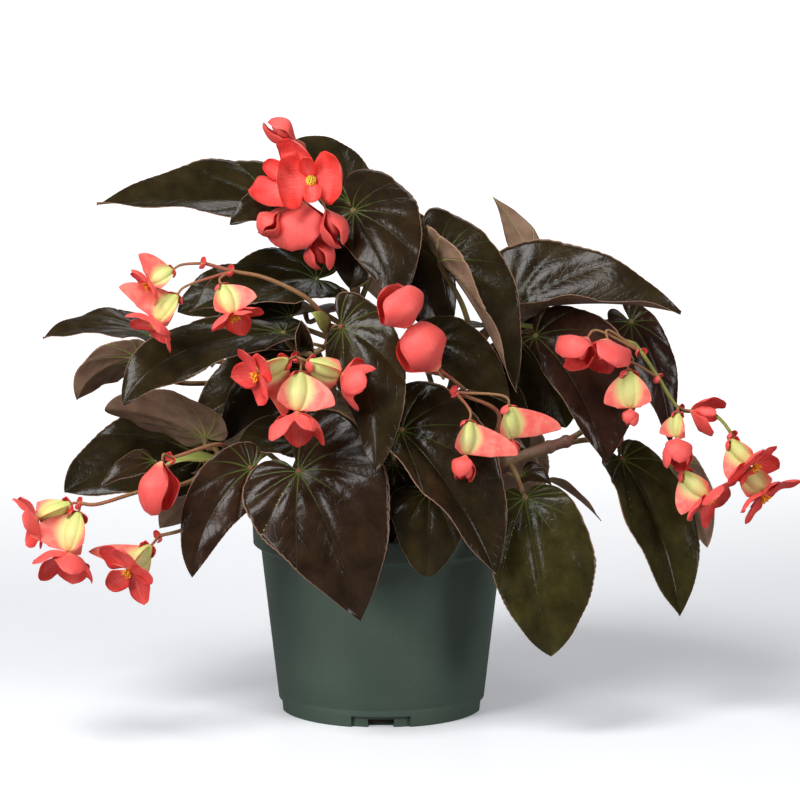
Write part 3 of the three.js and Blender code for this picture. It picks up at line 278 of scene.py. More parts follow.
sprayPlan = dict(
    spray_top=dict(
        cane="cane_back", at=1, line=[[-30, -20, 308], [-50, -30, 325], [-48, -32, 350]],
        blooms=[
            dict(
                kind="male", at=[-42, -66, 342], face=[-0.12, -0.97, 0.1], roll=8, size=25, open=38,
                branch=2,
            ),
            dict(
                kind="male", at=[-56, -44, 342], face=[-0.5, -0.75, 0.3], roll=65, size=26, open=35,
                branch=2,
            ),
            dict(
                kind="male", at=[-50, -50, 329], face=[-0.05, -0.1, -0.98], roll=80, size=31, open=66,
                branch=1,
            ),
            dict(
                kind="male", at=[-62, -58, 322], face=[-0.7, -0.1, -0.7], roll=90, size=19, open=80,
                width=0.85, branch=1,
            ),
            dict(
                kind="male", at=[-34, -62, 325], face=[0.4, -0.1, -0.9], roll=80, size=25, open=78,
                width=0.55, branch=1,
            ),
            dict(
                kind="male", at=[-42, -52, 307], face=[0.35, -0.1, -0.93], roll=80, size=23, open=74,
                width=0.6, branch=1,
            ),
            dict(
                kind="male", at=[-52, -36, 365], face=[-0.85, -0.1, 0.5], roll=80, size=23, open=76,
                width=0.5, branch=2,
            ),
        ],
    ),
    spray_left=dict(
        cane="cane_left", at=1,
        line=[[-40, -66, 265], [-49, -72, 273], [-72, -78, 284], [-90, -82, 288], [-107, -83, 293]],
        blooms=[
            dict(
                kind="female", at=[-126, -86, 289], face=[-0.8, -0.35, -0.5], aim=[-0.4, -0.1, 0.9], size=17,
                open=25, wings=[1.15, 0.5, 0.5], branch=4,
            ),
            dict(
                kind="female", at=[-123, -92, 274], face=[-0.55, -0.3, -0.75], aim=[-0.95, -0.1, 0.2],
                size=21, open=25, wings=[1.5, 0.55, 0.5], branch=3,
            ),
            dict(
                kind="female", at=[-96, -90, 280], face=[0.35, -0.35, -0.85], aim=[0.9, -0.2, 0.3], size=20,
                open=20, wings=[0.9, 0.65, 0.6], branch=3,
            ),
        ],
    ),
    spray_middle_left=dict(
        cane="cane_left", at=0.8, line=[[-40, -74, 222], [-50, -92, 236]],
        blooms=[
            dict(
                kind="female", at=[-56, -104, 236], face=[-0.8, -0.5, -0.35], aim=[0.2, -0.1, -1], size=22,
                open=12, wings=[1.35, 0.5, 0.5], branch=1,
            ),
            dict(
                kind="female", at=[-48, -109, 229], face=[-0.08, -0.35, -0.93], aim=[1, -0.3, 0.1], size=25,
                open=45, wings=[0.95, 0.65, 0.6], branch=1,
            ),
            dict(
                kind="female", at=[-43, -111, 236], face=[0.8, 0.1, -0.35], aim=[0, 0.2, -1], size=22,
                open=44, wings=[0.6, 0.5, 0.5], branch=1,
            ),
        ],
    ),
    spray_far_left=dict(
        cane="cane_low_left", at=0.97,
        line=[[-118, -74, 157], [-146, -91, 154], [-174, -105, 148], [-182, -105, 149]],
        blooms=[
            dict(
                kind="female", at=[-188, -104, 148], face=[-0.85, -0.2, -0.35], aim=[0, 0.3, -1], size=22,
                open=25, wings=[0.6, 0.5, 0.5], branch=3,
            ),
            dict(
                kind="female", at=[-183, -107, 143], face=[-0.2, -0.45, -0.88], aim=[-1, -0.2, 0], size=26,
                open=38, wings=[0.95, 0.6, 0.55], branch=3,
            ),
        ],
    ),
    spray_low_left=dict(
        cane="cane_low_left", at=0.86, line=[[-106, -76, 146], [-119, -88, 131], [-135, -95, 127]],
        blooms=[
            dict(
                kind="female", at=[-140, -105, 122], face=[-0.5, -0.7, -0.5], aim=[-1, 0, -0.15], size=23,
                open=12, wings=[1.45, 0.5, 0.5], branch=2,
            ),
        ],
    ),
    spray_left_closed=dict(
        cane="cane_low_left", at=0.9, line=[[-98, -72, 180], [-127, -94, 175]],
        blooms=[
            dict(
                kind="male", at=[-132, -104, 175], face=[-0.15, -0.1, -0.98], roll=75, size=32, open=76,
                width=0.6, branch=1,
            ),
        ],
    ),
    spray_middle=dict(
        cane="cane_right", at=0.62, line=[[50, -30, 208], [51, -58, 213], [36, -75, 227]],
        blooms=[
            dict(
                kind="male", at=[17, -99, 255], face=[-0.35, -0.2, 0.9], roll=8, size=28, open=74, width=0.8,
                branch=2,
            ),
            dict(
                kind="male", at=[35, -93, 228], face=[-0.55, -0.15, 0.8], roll=5, size=32, open=74,
                width=0.75, branch=2,
            ),
        ],
    ),
    spray_right_winged=dict(
        cane="cane_low_right", at=0.55, line=[[70, -60, 180], [72, -72, 200], [46, -84, 214]],
        blooms=[
            dict(
                kind="female", at=[54, -100, 198], face=[-0.12, -0.2, -0.97], aim=[1, -0.1, -0.1], size=21,
                open=72, wings=[1.5, 0.6, 0.6], petals=0.75, branch=2,
            ),
            dict(
                kind="female", at=[78, -92, 206], face=[0.12, 0.1, -0.98], aim=[1, -0.1, -0.15], size=21,
                open=75, wings=[1.45, 0.6, 0.5], petals=0.45, branch=2,
            ),
        ],
    ),
    spray_right=dict(
        cane="cane_right", at=0.97,
        line=[
            [154, -18, 238], [161, -48, 235], [172, -45, 219], [187, -45, 198], [202, -55, 199],
            [211, -58, 193], [217, -60, 185],
        ],
        blooms=[
            dict(
                kind="male", at=[128, -58, 245], face=[-0.6, -0.35, -0.7], roll=80, size=23, open=70,
                width=0.9, branch=1,
            ),
            dict(
                kind="male", at=[140, -56, 244], face=[0.05, -0.5, -0.85], roll=60, size=23, open=66,
                width=0.9, branch=1,
            ),
            dict(
                kind="female", at=[153, -60, 224], face=[0.05, -0.15, -0.98], aim=[-1, -0.3, 0], size=24,
                open=70, wings=[0.72, 0.7, 0.7], petals=0.45, branch=2,
            ),
            dict(
                kind="female", at=[184, -56, 197], face=[-0.05, -0.4, -0.9], aim=[-1, 0.2, 0.2], size=16,
                open=70, wings=[0.7, 0.6, 0.6], petals=1.25, branch=3,
            ),
            dict(
                kind="male", at=[192, -50, 198], face=[0.93, -0.25, -0.15], roll=60, size=23, open=66,
                width=0.7, branch=3,
            ),
            dict(
                kind="female", at=[216, -64, 181], face=[0.6, -0.5, -0.6], aim=[-0.5, -0.2, -0.8], size=22,
                open=10, wings=[0.8, 0.5, 0.5], branch=6,
            ),
            dict(
                kind="female", at=[223, -60, 164], face=[0.55, -0.35, -0.7], roll=50, size=23, open=10,
                wings=[0.5, 0.5, 0.5], branch=6,
            ),
            dict(
                kind="female", at=[187, -62, 161], face=[0.65, -0.4, -0.6], aim=[-0.5, -0.2, -0.8], size=23,
                open=18, wings=[0.85, 0.5, 0.5], branch=3,
            ),
        ],
    ),
)


# shapes: arrays of points in millimetres, quads between them and values for the materials


def unit(v):
    # every vector divided by its own length
    return v / np.maximum(np.linalg.norm(v, axis=-1, keepdims=True), 1e-9)


def smoothStep(low, high, x):
    # t squared times (3 - 2t), where t runs from 0 to 1 between low and high
    t = np.clip((x - low) / (high - low), 0, 1)
    return t * t * (3 - 2 * t)


def bezier(a, b, c, d, t):
    # the cubic Bezier sum of four values
    u = 1 - t
    return a * u**3 + 3 * b * t * u**2 + 3 * c * t**2 * u + d * t**3


def quads(rows, columns, closed=False):
    # one quad between each two neighbouring rows and columns of a grid of points
    r = np.arange(rows - 1)[:, None] * columns
    c = np.arange(columns if closed else columns - 1)[None, :]
    n = (c + 1) % columns
    return np.stack([r + c, r + n, r + columns + n, r + columns + c], axis=-1).reshape(-1, 4)


def closedSheet(upper, lower, values):
    # two grids of points, one above the other, joined by a wall round their border
    rows, columns = upper.shape[:2]
    count = rows * columns
    index = np.arange(count).reshape(rows, columns)
    border = np.concatenate([index[0, :-1], index[:-1, -1], index[-1, :0:-1], index[:0:-1, 0]])
    after = np.roll(border, -1)
    wall = np.stack([after, border, border + count, after + count], axis=-1)
    face = quads(rows, columns)
    return dict(
        points=np.concatenate([upper.reshape(-1, 3), lower.reshape(-1, 3)]),
        faces=np.concatenate([face, face[:, ::-1] + count, wall]),
        smooth=np.concatenate([np.ones(2 * len(face), bool), np.zeros(len(wall), bool)]),
        values=values,
    )


def joined(shapes):
    # several shapes as one list of points and quads
    starts = np.cumsum([0] + [len(shape["points"]) for shape in shapes[:-1]])
    return dict(
        points=np.concatenate([shape["points"] for shape in shapes]),
        faces=np.concatenate([shape["faces"] + start for shape, start in zip(shapes, starts)]),
        smooth=np.concatenate([shape["smooth"] for shape in shapes]),
        values={
            key: np.concatenate([shape["values"][key] for shape in shapes]) for key in shapes[0]["values"]
        },
    )


def makePiece(name, shapes, material, slotName, *nodes):
    # a mesh object whose doubled points are merged, which rides on the pot and stands for its nodes
    shape = joined(shapes)
    mesh = bpy.data.meshes.new(name)
    mesh.from_pydata((shape["points"] * mm).tolist(), [], shape["faces"].tolist())
    for key, value in shape["values"].items():
        vector = value.ndim == 2
        layer = mesh.attributes.new(key, "FLOAT_VECTOR" if vector else "FLOAT", "POINT")
        layer.data.foreach_set("vector" if vector else "value", value.astype(np.float32).ravel())
    mesh.polygons.foreach_set("use_smooth", shape["smooth"])
    work = bmesh.new()
    work.from_mesh(mesh)
    bmesh.ops.remove_doubles(work, verts=work.verts, dist=2e-6)
    bmesh.ops.recalc_face_normals(work, faces=work.faces)
    work.to_mesh(mesh)
    work.free()
    mesh.materials.append(material)
    piece = bpy.data.objects.new(name, mesh)
    bpy.context.scene.collection.objects.link(piece)
    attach(piece, "root")
    if nodes:
        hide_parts(*nodes)
    return piece


def smoothLine(points, count, samples=33):
    # a centripetal Catmull-Rom curve through the points, taken at even steps of its length
    p = np.array(points, float)
    p = np.concatenate([[2 * p[0] - p[1]], p, [2 * p[-1] - p[-2]]])
    step = np.maximum(np.linalg.norm(np.diff(p, axis=0), axis=1) ** 0.5, 1e-4)
    t = np.linspace(0, 1, samples)[:, None, None]
    p0, p1, p2, p3 = p[None, :-3], p[None, 1:-2], p[None, 2:-1], p[None, 3:]
    d0, d1, d2 = step[None, :-2, None], step[None, 1:-1, None], step[None, 2:, None]
    t1 = ((p1 - p0) / d0 - (p2 - p0) / (d0 + d1) + (p2 - p1) / d1) * d1
    t2 = ((p2 - p1) / d1 - (p3 - p1) / (d1 + d2) + (p3 - p2) / d2) * d1
    dense = (
        p1 + t1 * t + (-3 * p1 + 3 * p2 - 2 * t1 - t2) * t**2 + (2 * p1 - 2 * p2 + t1 + t2) * t**3
    )
    dense = dense.transpose(1, 0, 2).reshape(-1, 3)
    length = np.concatenate([[0], np.cumsum(np.linalg.norm(np.diff(dense, axis=0), axis=1))])
    wanted = np.linspace(0, length[-1], count)
    return np.stack([np.interp(wanted, length, dense[:, k]) for k in range(3)], axis=-1)


def lineAt(points, share, steps=400):
    # the place at a share of a curve's length
    return smoothLine(points, steps + 1)[round(share * steps)]


def tubeShape(line, radii, sides, tone=0.0):
    # a circle of the given radius carried along the line, closed by a point at each end
    line = np.asarray(line, float)
    along = unit(np.gradient(line, axis=0))
    guide = np.eye(3)[np.argmin(np.abs(along).mean(axis=0))]
    normal = unit(guide - (along @ guide)[:, None] * along)
    other = np.cross(along, normal)
    angle = np.linspace(0, 2 * math.pi, sides, endpoint=False)[None, :, None]
    radii = np.broadcast_to(radii, len(line)) * np.ones(len(line))
    ring = normal[:, None] * np.cos(angle) + other[:, None] * np.sin(angle)
    body = line[:, None] + ring * radii[:, None, None]
    ends = [np.repeat(line[k][None, None], sides, axis=1) for k in (0, -1)]
    points = np.concatenate([ends[0], body, ends[1]])
    rows = len(points)
    share = np.repeat(np.linspace(0, 1, rows), sides)
    length = np.linalg.norm(np.diff(line, axis=0), axis=1).sum()
    turn = np.tile(angle.ravel(), rows)
    place = np.stack([np.cos(turn), np.sin(turn), share * length / 3], axis=-1)
    return dict(
        points=points.reshape(-1, 3),
        faces=quads(rows, sides, closed=True),
        smooth=np.ones((rows - 1) * sides, bool),
        values=dict(place=place, tone=np.full(rows * sides, tone)),
    )


# leaves

leafShape = dict(sinus=0.04, claw=0, widest=0.22, shoulder=0.4, point=[0.84, 0.18], lobeShare=0.36)
stipuleShape = dict(sinus=0.3, claw=0.1, widest=0.35, shoulder=0.4, point=[0.9, 0.2], lobeShare=0.36)
leafLook = dict(
    rows=96, columns=27, thickness=0.62, rimThickness=0.26, veinSpacing=0.56, veinBend=0.45, veinDip=0.5,
    veinWidth=0.9, quilt=0.95, sideQuilt=0.17, sideSpacing=9.0, sideSlant=1.2, wave=1.3, waves=2.3, teeth=30,
    toothDepth=0.022, rib=0.55, uneven=0.02, usualLength=80, sizes=[0.25, 1.2],
)


def edgeOf(lobe, widest, point, shape, s):
    # from the sinus over the lobe to the widest place by one cubic curve, then to the tip by another
    claw, sinus, share = shape["claw"], shape["sinus"], shape["lobeShare"]
    first = np.clip(s / share, 0, 1)
    last = np.clip((s - share) / (1 - share), 0, 1)
    shoulder = widest + shape["shoulder"] * (1 - widest)
    xFirst = bezier(0, claw - 1.5 * lobe, claw - 1.1 * lobe, widest, first)
    xLast = bezier(widest, shoulder, point[0], 1, last)
    yFirst = bezier(sinus, sinus, 1, 1, first)
    yLast = bezier(1, 1, point[1], 0, last)
    return np.where(s < share, xFirst, xLast), np.where(s < share, yFirst, yLast)


def bentBlade(plan, x, y):
    # the midrib is a quadratic curve; each half leaves it at its fold angle and turns on by its curl
    base, tip = np.array(plan["base"], float), np.array(plan["tip"], float)
    middle = (base + tip) / 2 + 2 * np.array(plan["bow"])
    face = np.array(plan["face"], float)
    faceTip = np.array(plan.get("faceTip", plan["face"]), float)
    t = np.maximum(x, 0)[..., None]
    before, after = base + (middle - base) * t, middle + (tip - middle) * t
    along = unit(after - before)
    spine = before + (after - before) * t
    spine = spine + along * np.minimum(x, 0)[..., None] * np.linalg.norm(tip - base)
    up = face + (faceTip - face) * t
    up = unit(up - (up * along).sum(-1, keepdims=True) * along)
    right = np.cross(along, up)
    sign = np.where(y < 0, -1.0, 1.0)
    half = np.where(y < 0, plan["half"][0], plan["half"][1])
    start = np.where(y < 0, plan["fold"][0], plan["fold"][1]) * degree
    curl = plan.get("curl", [0.1, 0.1])
    turn = np.where(y < 0, curl[0], curl[1]) * degree
    end = start + turn * np.abs(y)
    out = sign * half * (np.sin(end) - np.sin(start)) / turn
    rise = half * (np.cos(start) - np.cos(end)) / turn
    point = spine + right * out[..., None] + up * rise[..., None]
    lean = np.where(y == 0, 0, end)[..., None]
    return point, up * np.cos(lean) - right * np.sin(lean) * sign[..., None]


def leafSurface(plan, shape, look, seed, tone=0.0, maroon=0.0):
    # the bent blade on a grid of edge place times share across, quilted between its veins and waved at its
    # rim; the lower face follows the upper one a blade's thickness below, with its ribs standing out
    s = np.linspace(0, 1, look["rows"])[:, None]
    w = np.linspace(-1, 1, look["columns"])[None, :]
    w = np.sign(w) * np.abs(w) ** 0.9
    q = np.abs(w)
    lobe = plan.get("lobe", [0, 0])
    widest = plan.get("widest", shape["widest"])
    end = plan.get("point", shape["point"])
    left, right = edgeOf(lobe[0], widest, end, shape, s), edgeOf(lobe[1], widest, end, shape, s)
    edgeX, edgeY = np.where(w < 0, left[0], right[0]), np.where(w < 0, left[1], right[1])
    rib = np.maximum(edgeOf(sum(lobe) / 2, widest, end, shape, s)[0], 0) ** 1.3
    tooth = look["toothDepth"] * (((s * look["teeth"]) % 1) ** 0.6 - 0.6) * smoothStep(0.04, 0.12, s)
    tooth = tooth * (1 - smoothStep(0.93, 1, s))
    tooth = tooth + look["uneven"] * np.sin(s * 21 + seed * 5) * np.sin(s * 9 + seed)
    x = rib + (edgeX - rib) * q
    y = np.sign(w) * edgeY * q * (1 + tooth * q**6)
    point, normal = bentBlade(plan, x, y)
    length = np.linalg.norm(np.array(plan["tip"], float) - plan["base"])
    flatX, flatY = x * length, y * np.where(w < 0, plan["half"][0], plan["half"][1])
    radius = np.hypot(flatX, flatY)
    bend = 1 + look["veinBend"] * radius / length
    ray = np.arctan2(flatY, flatX) * bend / look["veinSpacing"]
    away = np.abs(ray - np.round(ray)) * look["veinSpacing"] * radius / bend
    dome = 2 * np.abs(ray - np.round(ray))
    size = np.clip(length / look["usualLength"], *look["sizes"])
    quilt = look["quilt"] * size * np.sin(dome * math.pi / 2) * smoothStep(0, 25, radius) * (1 - 0.5 * q**4)
    ripple = np.abs(np.sin(math.pi * (radius - look["sideSlant"] * away) / look["sideSpacing"]))
    quilt = quilt + look["sideQuilt"] * size * dome * ripple * smoothStep(5, 18, radius)
    phase = 2 * math.pi * (look["waves"] * x + seed + 0.37 * (w > 0))
    wave = look["wave"] * size * q**3 * np.sin(phase) * smoothStep(0.02, 0.15, s)
    groove = look["veinDip"] * size * np.exp(-((away / look["veinWidth"]) ** 2))
    groove = groove * (1 - smoothStep(0.3, 1, x))
    thick = look["rimThickness"] + (look["thickness"] - look["rimThickness"]) * (1 - q**6)
    mid = quilt + wave - 0.5 * look["quilt"] * size
    upper = point + normal * (mid + thick / 2 - groove)[..., None]
    lower = point + normal * (mid - thick / 2 - look["rib"] * groove / look["veinDip"])[..., None]
    place = np.stack([flatX / 10, flatY / 10, np.full_like(flatX, length / 10)], axis=-1)
    flat = np.ones(place.shape[:2])
    values = dict(
        place=np.concatenate([place, place]).reshape(-1, 3),
        under=np.concatenate([0 * flat, flat]).ravel(),
        rim=np.concatenate([q * flat, q * flat]).ravel(),
        tone=np.full(2 * flat.size, tone),
        maroon=np.full(2 * flat.size, maroon),
    )
    return closedSheet(upper, lower, values)


# canes, petioles and stalks

stemLook = dict(
    petioleRadius=1.9, youngRadius=1.2, stalkRadius=1.4, pedicelRadius=0.85, caneSides=20, stalkSides=12,
    pedicelSides=8, caneSteps=90, stalkSteps=60, petioleSteps=26, pedicelSteps=18, jointSwell=0.28,
    jointWidth=0.014, heelSwell=0.45, heelWidth=0.06, neckSwell=0.25, neckWidth=0.04,
    fresh=dict(spray_right=0.95, spray_far_left=0.8),  # greener stalks
)


def petioleLine(plan):
    # from its place on the cane, over its route, to the base of the blade from below
    at0, normal = bentBlade(plan, np.array([0.0]), np.array([0.0]))
    at1, _ = bentBlade(plan, np.array([0.02]), np.array([0.0]))
    arrive = unit(0.5 * unit(at1[0] - at0[0]) + 0.9 * normal[0])
    end = at0[0] - normal[0] * 0.3
    start = lineAt(canePlan[plan["cane"]]["line"], plan["at"])
    reach = np.linalg.norm(end - start)
    halfway = start + 0.4 * (end - start) + np.array([0, 0, 0.08 * reach])
    last = end - arrive * min(8, 0.3 * reach)
    return smoothLine([start, *plan.get("route", [halfway]), last, end], stemLook["petioleSteps"])


def petioleShape(plan, radius):
    # a tube, swollen where it leaves the cane and again under the blade
    line = petioleLine(plan)
    t = np.linspace(0, 1, len(line))
    heel = stemLook["heelSwell"] * np.exp(-((t / stemLook["heelWidth"]) ** 2))
    neck = stemLook["neckSwell"] * np.exp(-(((1 - t) / stemLook["neckWidth"]) ** 2))
    return tubeShape(line, radius * (1 + heel + neck) * (1 - 0.15 * t), stemLook["stalkSides"])


def caneShape(name):
    # a tapering tube that swells into a joint wherever a petiole or stalk leaves it
    plan = canePlan[name]
    line = smoothLine(plan["line"], stemLook["caneSteps"])
    t = np.linspace(0, 1, len(line))
    growing = [*leafPlan.values(), *sprayPlan.values()]
    joints = np.array([part["at"] for part in growing if part["cane"] == name])
    swell = np.exp(-(((t[:, None] - joints[None]) / stemLook["jointWidth"]) ** 2)).max(axis=1)
    radii = plan["radius"][0] + (plan["radius"][1] - plan["radius"][0]) * t
    return tubeShape(line, radii * (1 + stemLook["jointSwell"] * swell), stemLook["caneSides"])


# blooms

bloomLook = dict(
    male=dict(tepals=4, wide=[1, 0.66], narrow=[0.72, 0.23]),  # length and half width, as shares of the size
    female=dict(tepals=5, wide=[1.05, 0.42], narrow=[0.9, 0.33]),
    closing=[65, 76], closedTilt=11, openCup=0.35, leastCup=0.08, closedCup=0.42, femaleCup=0.28,
    heartTilt=65, ovaryLength=0.95, bractLength=0.34,
)
tepalLook = dict(
    rows=17, columns=13, thickness=0.45, rimThickness=0.2, layer=1.1, claw=0.3, ripple=0.11, ripples=1.7,
    male=dict(blunt=2.6, power=0.43), female=dict(blunt=2.1, power=0.6),
)
bractLook = dict(length=5.5, back=1.5, lean=48, aside=70, width=0.6, bulge=0.1, cup=0.3, tone=0.9)
ovaryLook = dict(rows=26, columns=25, stem=0.04, belly=0.19, wing=0.028, wingTop=0.84, end=0.93)
styleLook = dict(
    count=3, length=4.6, radius=0.42, turns=1.4, steps=22, sides=7, out=2.1, aside=1.3, coil=0.9
)
stamenLook = dict(count=34, length=5.2, spread=0.95, filament=0.2, anther=0.62, steps=9, sides=6, scale=0.8)
columnLook = dict(low=-2.2, high=1.8, radii=[1.2, 1.5, 1.5, 1.3, 1.0, 0.7], sides=10)


def roundAbout(axis, vector, angle):
    # the vector turned about the axis by the angle
    return vector * math.cos(angle) + np.cross(axis, vector) * math.sin(angle)


def tepalShape(centre, looks, across, lobe, cup, seed, tone):
    # a round-ended sheet: its width grows from a narrow claw, its middle is sunk by the cup, and its rim
    # ripples a little; it leans towards the way the bloom looks by its tilt
    radial = roundAbout(looks, across, lobe["angle"] * degree)
    aside = np.cross(looks, radial)
    lean = lobe["tilt"] * degree
    way = radial * math.cos(lean) + looks * math.sin(lean)
    inner = looks * math.cos(lean) - radial * math.sin(lean)
    foot = centre + looks * lobe["layer"] * tepalLook["layer"]
    a = np.linspace(0, 1, tepalLook["rows"])[:, None]
    b = np.linspace(-1, 1, tepalLook["columns"])[None, :]
    shape, claw = tepalLook[lobe["kind"]], tepalLook["claw"]
    ends = np.clip(1 - np.abs(2 * a**0.85 - 1) ** shape["blunt"], 0, 1) ** shape["power"]
    out = b * ends * (claw + (1 - claw) * smoothStep(0, 0.42, a)) * lobe["width"]
    sink = cup * (1 - b**2) * smoothStep(0, 0.55, a) * ends
    bulge = lobe["bulge"] * np.sin(math.pi * np.clip(a, 0, 1)) * (1 - 0.4 * b**2)
    ripple = tepalLook["ripple"] * b**4 * ends * np.sin(2 * math.pi * (tepalLook["ripples"] * a + seed))
    ripple = ripple + 0.06 * np.sin(5 * a + 9 * seed) * a
    rise = (ripple - sink) * lobe["width"] - bulge * lobe["length"]
    reach = a * lobe["length"] * (1 + 0.04 * ends * np.sin(3 * b + 7 * seed))
    point = foot + way * reach[..., None] + aside * out[..., None] + inner * rise[..., None]
    thick = tepalLook["rimThickness"] + (tepalLook["thickness"] - tepalLook["rimThickness"]) * (1 - b**4)
    half = inner * (thick * np.ones_like(a) / 2)[..., None]
    place = np.stack([out / 10, reach / 10, np.full_like(out, seed)], axis=-1)
    flat = np.ones(place.shape[:2])
    values = dict(
        place=np.concatenate([place, place]).reshape(-1, 3),
        under=np.concatenate([flat, 0 * flat]).ravel(),
        rim=np.tile((np.abs(b) * flat).ravel(), 2),
        span=np.tile((a * flat).ravel(), 2),
        tone=np.full(2 * flat.size, tone),
    )
    return closedSheet(point - half, point + half, values)


def ovaryShape(start, looks, across, length, wings, tone):
    # a spindle whose radius shoots up at three thin wings: each wing's share of the radius falls off with
    # the angle from its middle, and its height grows towards the tepals and drops near the end
    t = np.linspace(0, 1, ovaryLook["rows"])[:, None]
    u = np.linspace(-1, 1, ovaryLook["columns"])[None, :-1]
    belly = np.sin(math.pi * np.clip(0.08 + 0.86 * t, 0, 1)) ** 0.8
    bodyRadius = length * (ovaryLook["stem"] + ovaryLook["belly"] * belly)
    bodyRadius = bodyRadius * (1 - smoothStep(ovaryLook["end"], 1, t) * 0.6)
    top = ovaryLook["wingTop"]
    rise = np.sin(math.pi / 2 * np.clip(t / top, 0, 1) ** 0.75) * (1 - 0.5 * smoothStep(top, 1, t))
    off = math.pi / 3 * np.sign(u) * np.abs(u) ** 3
    fall = 1 / (1 + (off / ovaryLook["wing"]) ** 2) ** 1.3
    loops, masks = [], []
    for i, wing in enumerate(wings):
        radius = bodyRadius + np.maximum(wing * rise - bodyRadius, 0) * fall
        angle = i * 2 * math.pi / 3 + math.pi / 6 + off + 0 * t
        ring = across * np.cos(angle)[..., None] + np.cross(looks, across) * np.sin(angle)[..., None]
        loops.append(ring * radius[..., None] + looks * (length * t)[..., None])
        masks.append(np.clip((radius / bodyRadius - 1) / 3, 0, 1))
    points = start + np.concatenate(loops, axis=1)
    mask = np.concatenate(masks, axis=1)
    columns = mask.shape[1]
    poles = [np.repeat((start + looks * length * k)[None, None], columns, axis=1) for k in (0, 1)]
    points = np.concatenate([poles[0], points, poles[1]])
    rows = len(points)
    points = points.reshape(-1, 3)
    values = dict(
        place=(points - start) / 10,
        wing=np.concatenate([mask[:1], mask, mask[-1:]]).ravel(),
        span=np.repeat(np.concatenate([[0], t.ravel(), [1]]), columns),
        tone=np.full(len(points), tone),
    )
    faces = quads(rows, columns, closed=True)
    return dict(points=points, faces=faces, smooth=np.ones(len(faces), bool), values=values)


def styleShapes(centre, looks, across):
    # three styles, each forked into two arms that wind round once like a corkscrew
    shapes = []
    t = np.linspace(0, 1, styleLook["steps"])[:, None]
    turn = 2 * math.pi * styleLook["turns"] * smoothStep(0.25, 1, t) * t
    coil = styleLook["coil"] * smoothStep(0.2, 0.6, t)
    radii = styleLook["radius"] * (1 + 0.35 * np.sin(math.pi * t.ravel()))
    for i in range(styleLook["count"]):
        out = roundAbout(looks, across, i * 2 * math.pi / styleLook["count"] + 0.5)
        for hand in (-1, 1):
            aside = np.cross(looks, out) * hand
            line = centre + looks * (styleLook["length"] * t * (1 - 0.25 * t))
            line = line + out * (styleLook["out"] * t)
            line = line + aside * (styleLook["aside"] * smoothStep(0.15, 1, t))
            line = line + (out * np.sin(turn) + looks * (1 - np.cos(turn))) * coil
            shapes.append(tubeShape(line, radii, styleLook["sides"]))
    return shapes


def stamenShapes(centre, looks, across):
    # thin filaments fanned out from one short column, each with a club-shaped anther on its end
    golden = math.pi * (3 - math.sqrt(5))
    t = np.linspace(0, 1, stamenLook["steps"])[:, None]
    club = stamenLook["filament"] + stamenLook["anther"] * smoothStep(0.5, 0.75, t.ravel())
    club = club * (1 - 0.25 * smoothStep(0.85, 1, t.ravel()))
    shapes = []
    for i in range(stamenLook["count"]):
        share = (i + 0.5) / stamenLook["count"]
        tilt = stamenLook["spread"] * math.sqrt(share)
        out = roundAbout(looks, across, i * golden)
        way = looks * math.cos(tilt) + out * math.sin(tilt)
        line = centre + way * (stamenLook["length"] * (1 - 0.2 * share)) * t + looks * (0.9 * t * (1 - t))
        shapes.append(tubeShape(line, club * stamenLook["scale"], stamenLook["sides"]))
    heights = np.linspace(columnLook["low"], columnLook["high"], len(columnLook["radii"]))
    shapes.append(tubeShape(centre + looks * heights[:, None], columnLook["radii"], columnLook["sides"]))
    return shapes


def bractPair(foot, looks, length, seed):
    # two small round bracts that clasp a stalk from both sides, a little behind the given foot
    across = unit(np.cross(looks, [0.3, -0.5, 0.8]))
    foot = foot - looks * bractLook["back"]
    shapes = []
    for i, side in enumerate((-1, 1)):
        lobe = dict(
            angle=90 + side * bractLook["aside"], length=length, width=length * bractLook["width"],
            tilt=bractLook["lean"], layer=0, bulge=bractLook["bulge"], kind="male",
        )
        turn = (seed + i / 3) % 1
        shapes.append(tepalShape(foot, looks, across, lobe, bractLook["cup"], turn, bractLook["tone"]))
    return shapes


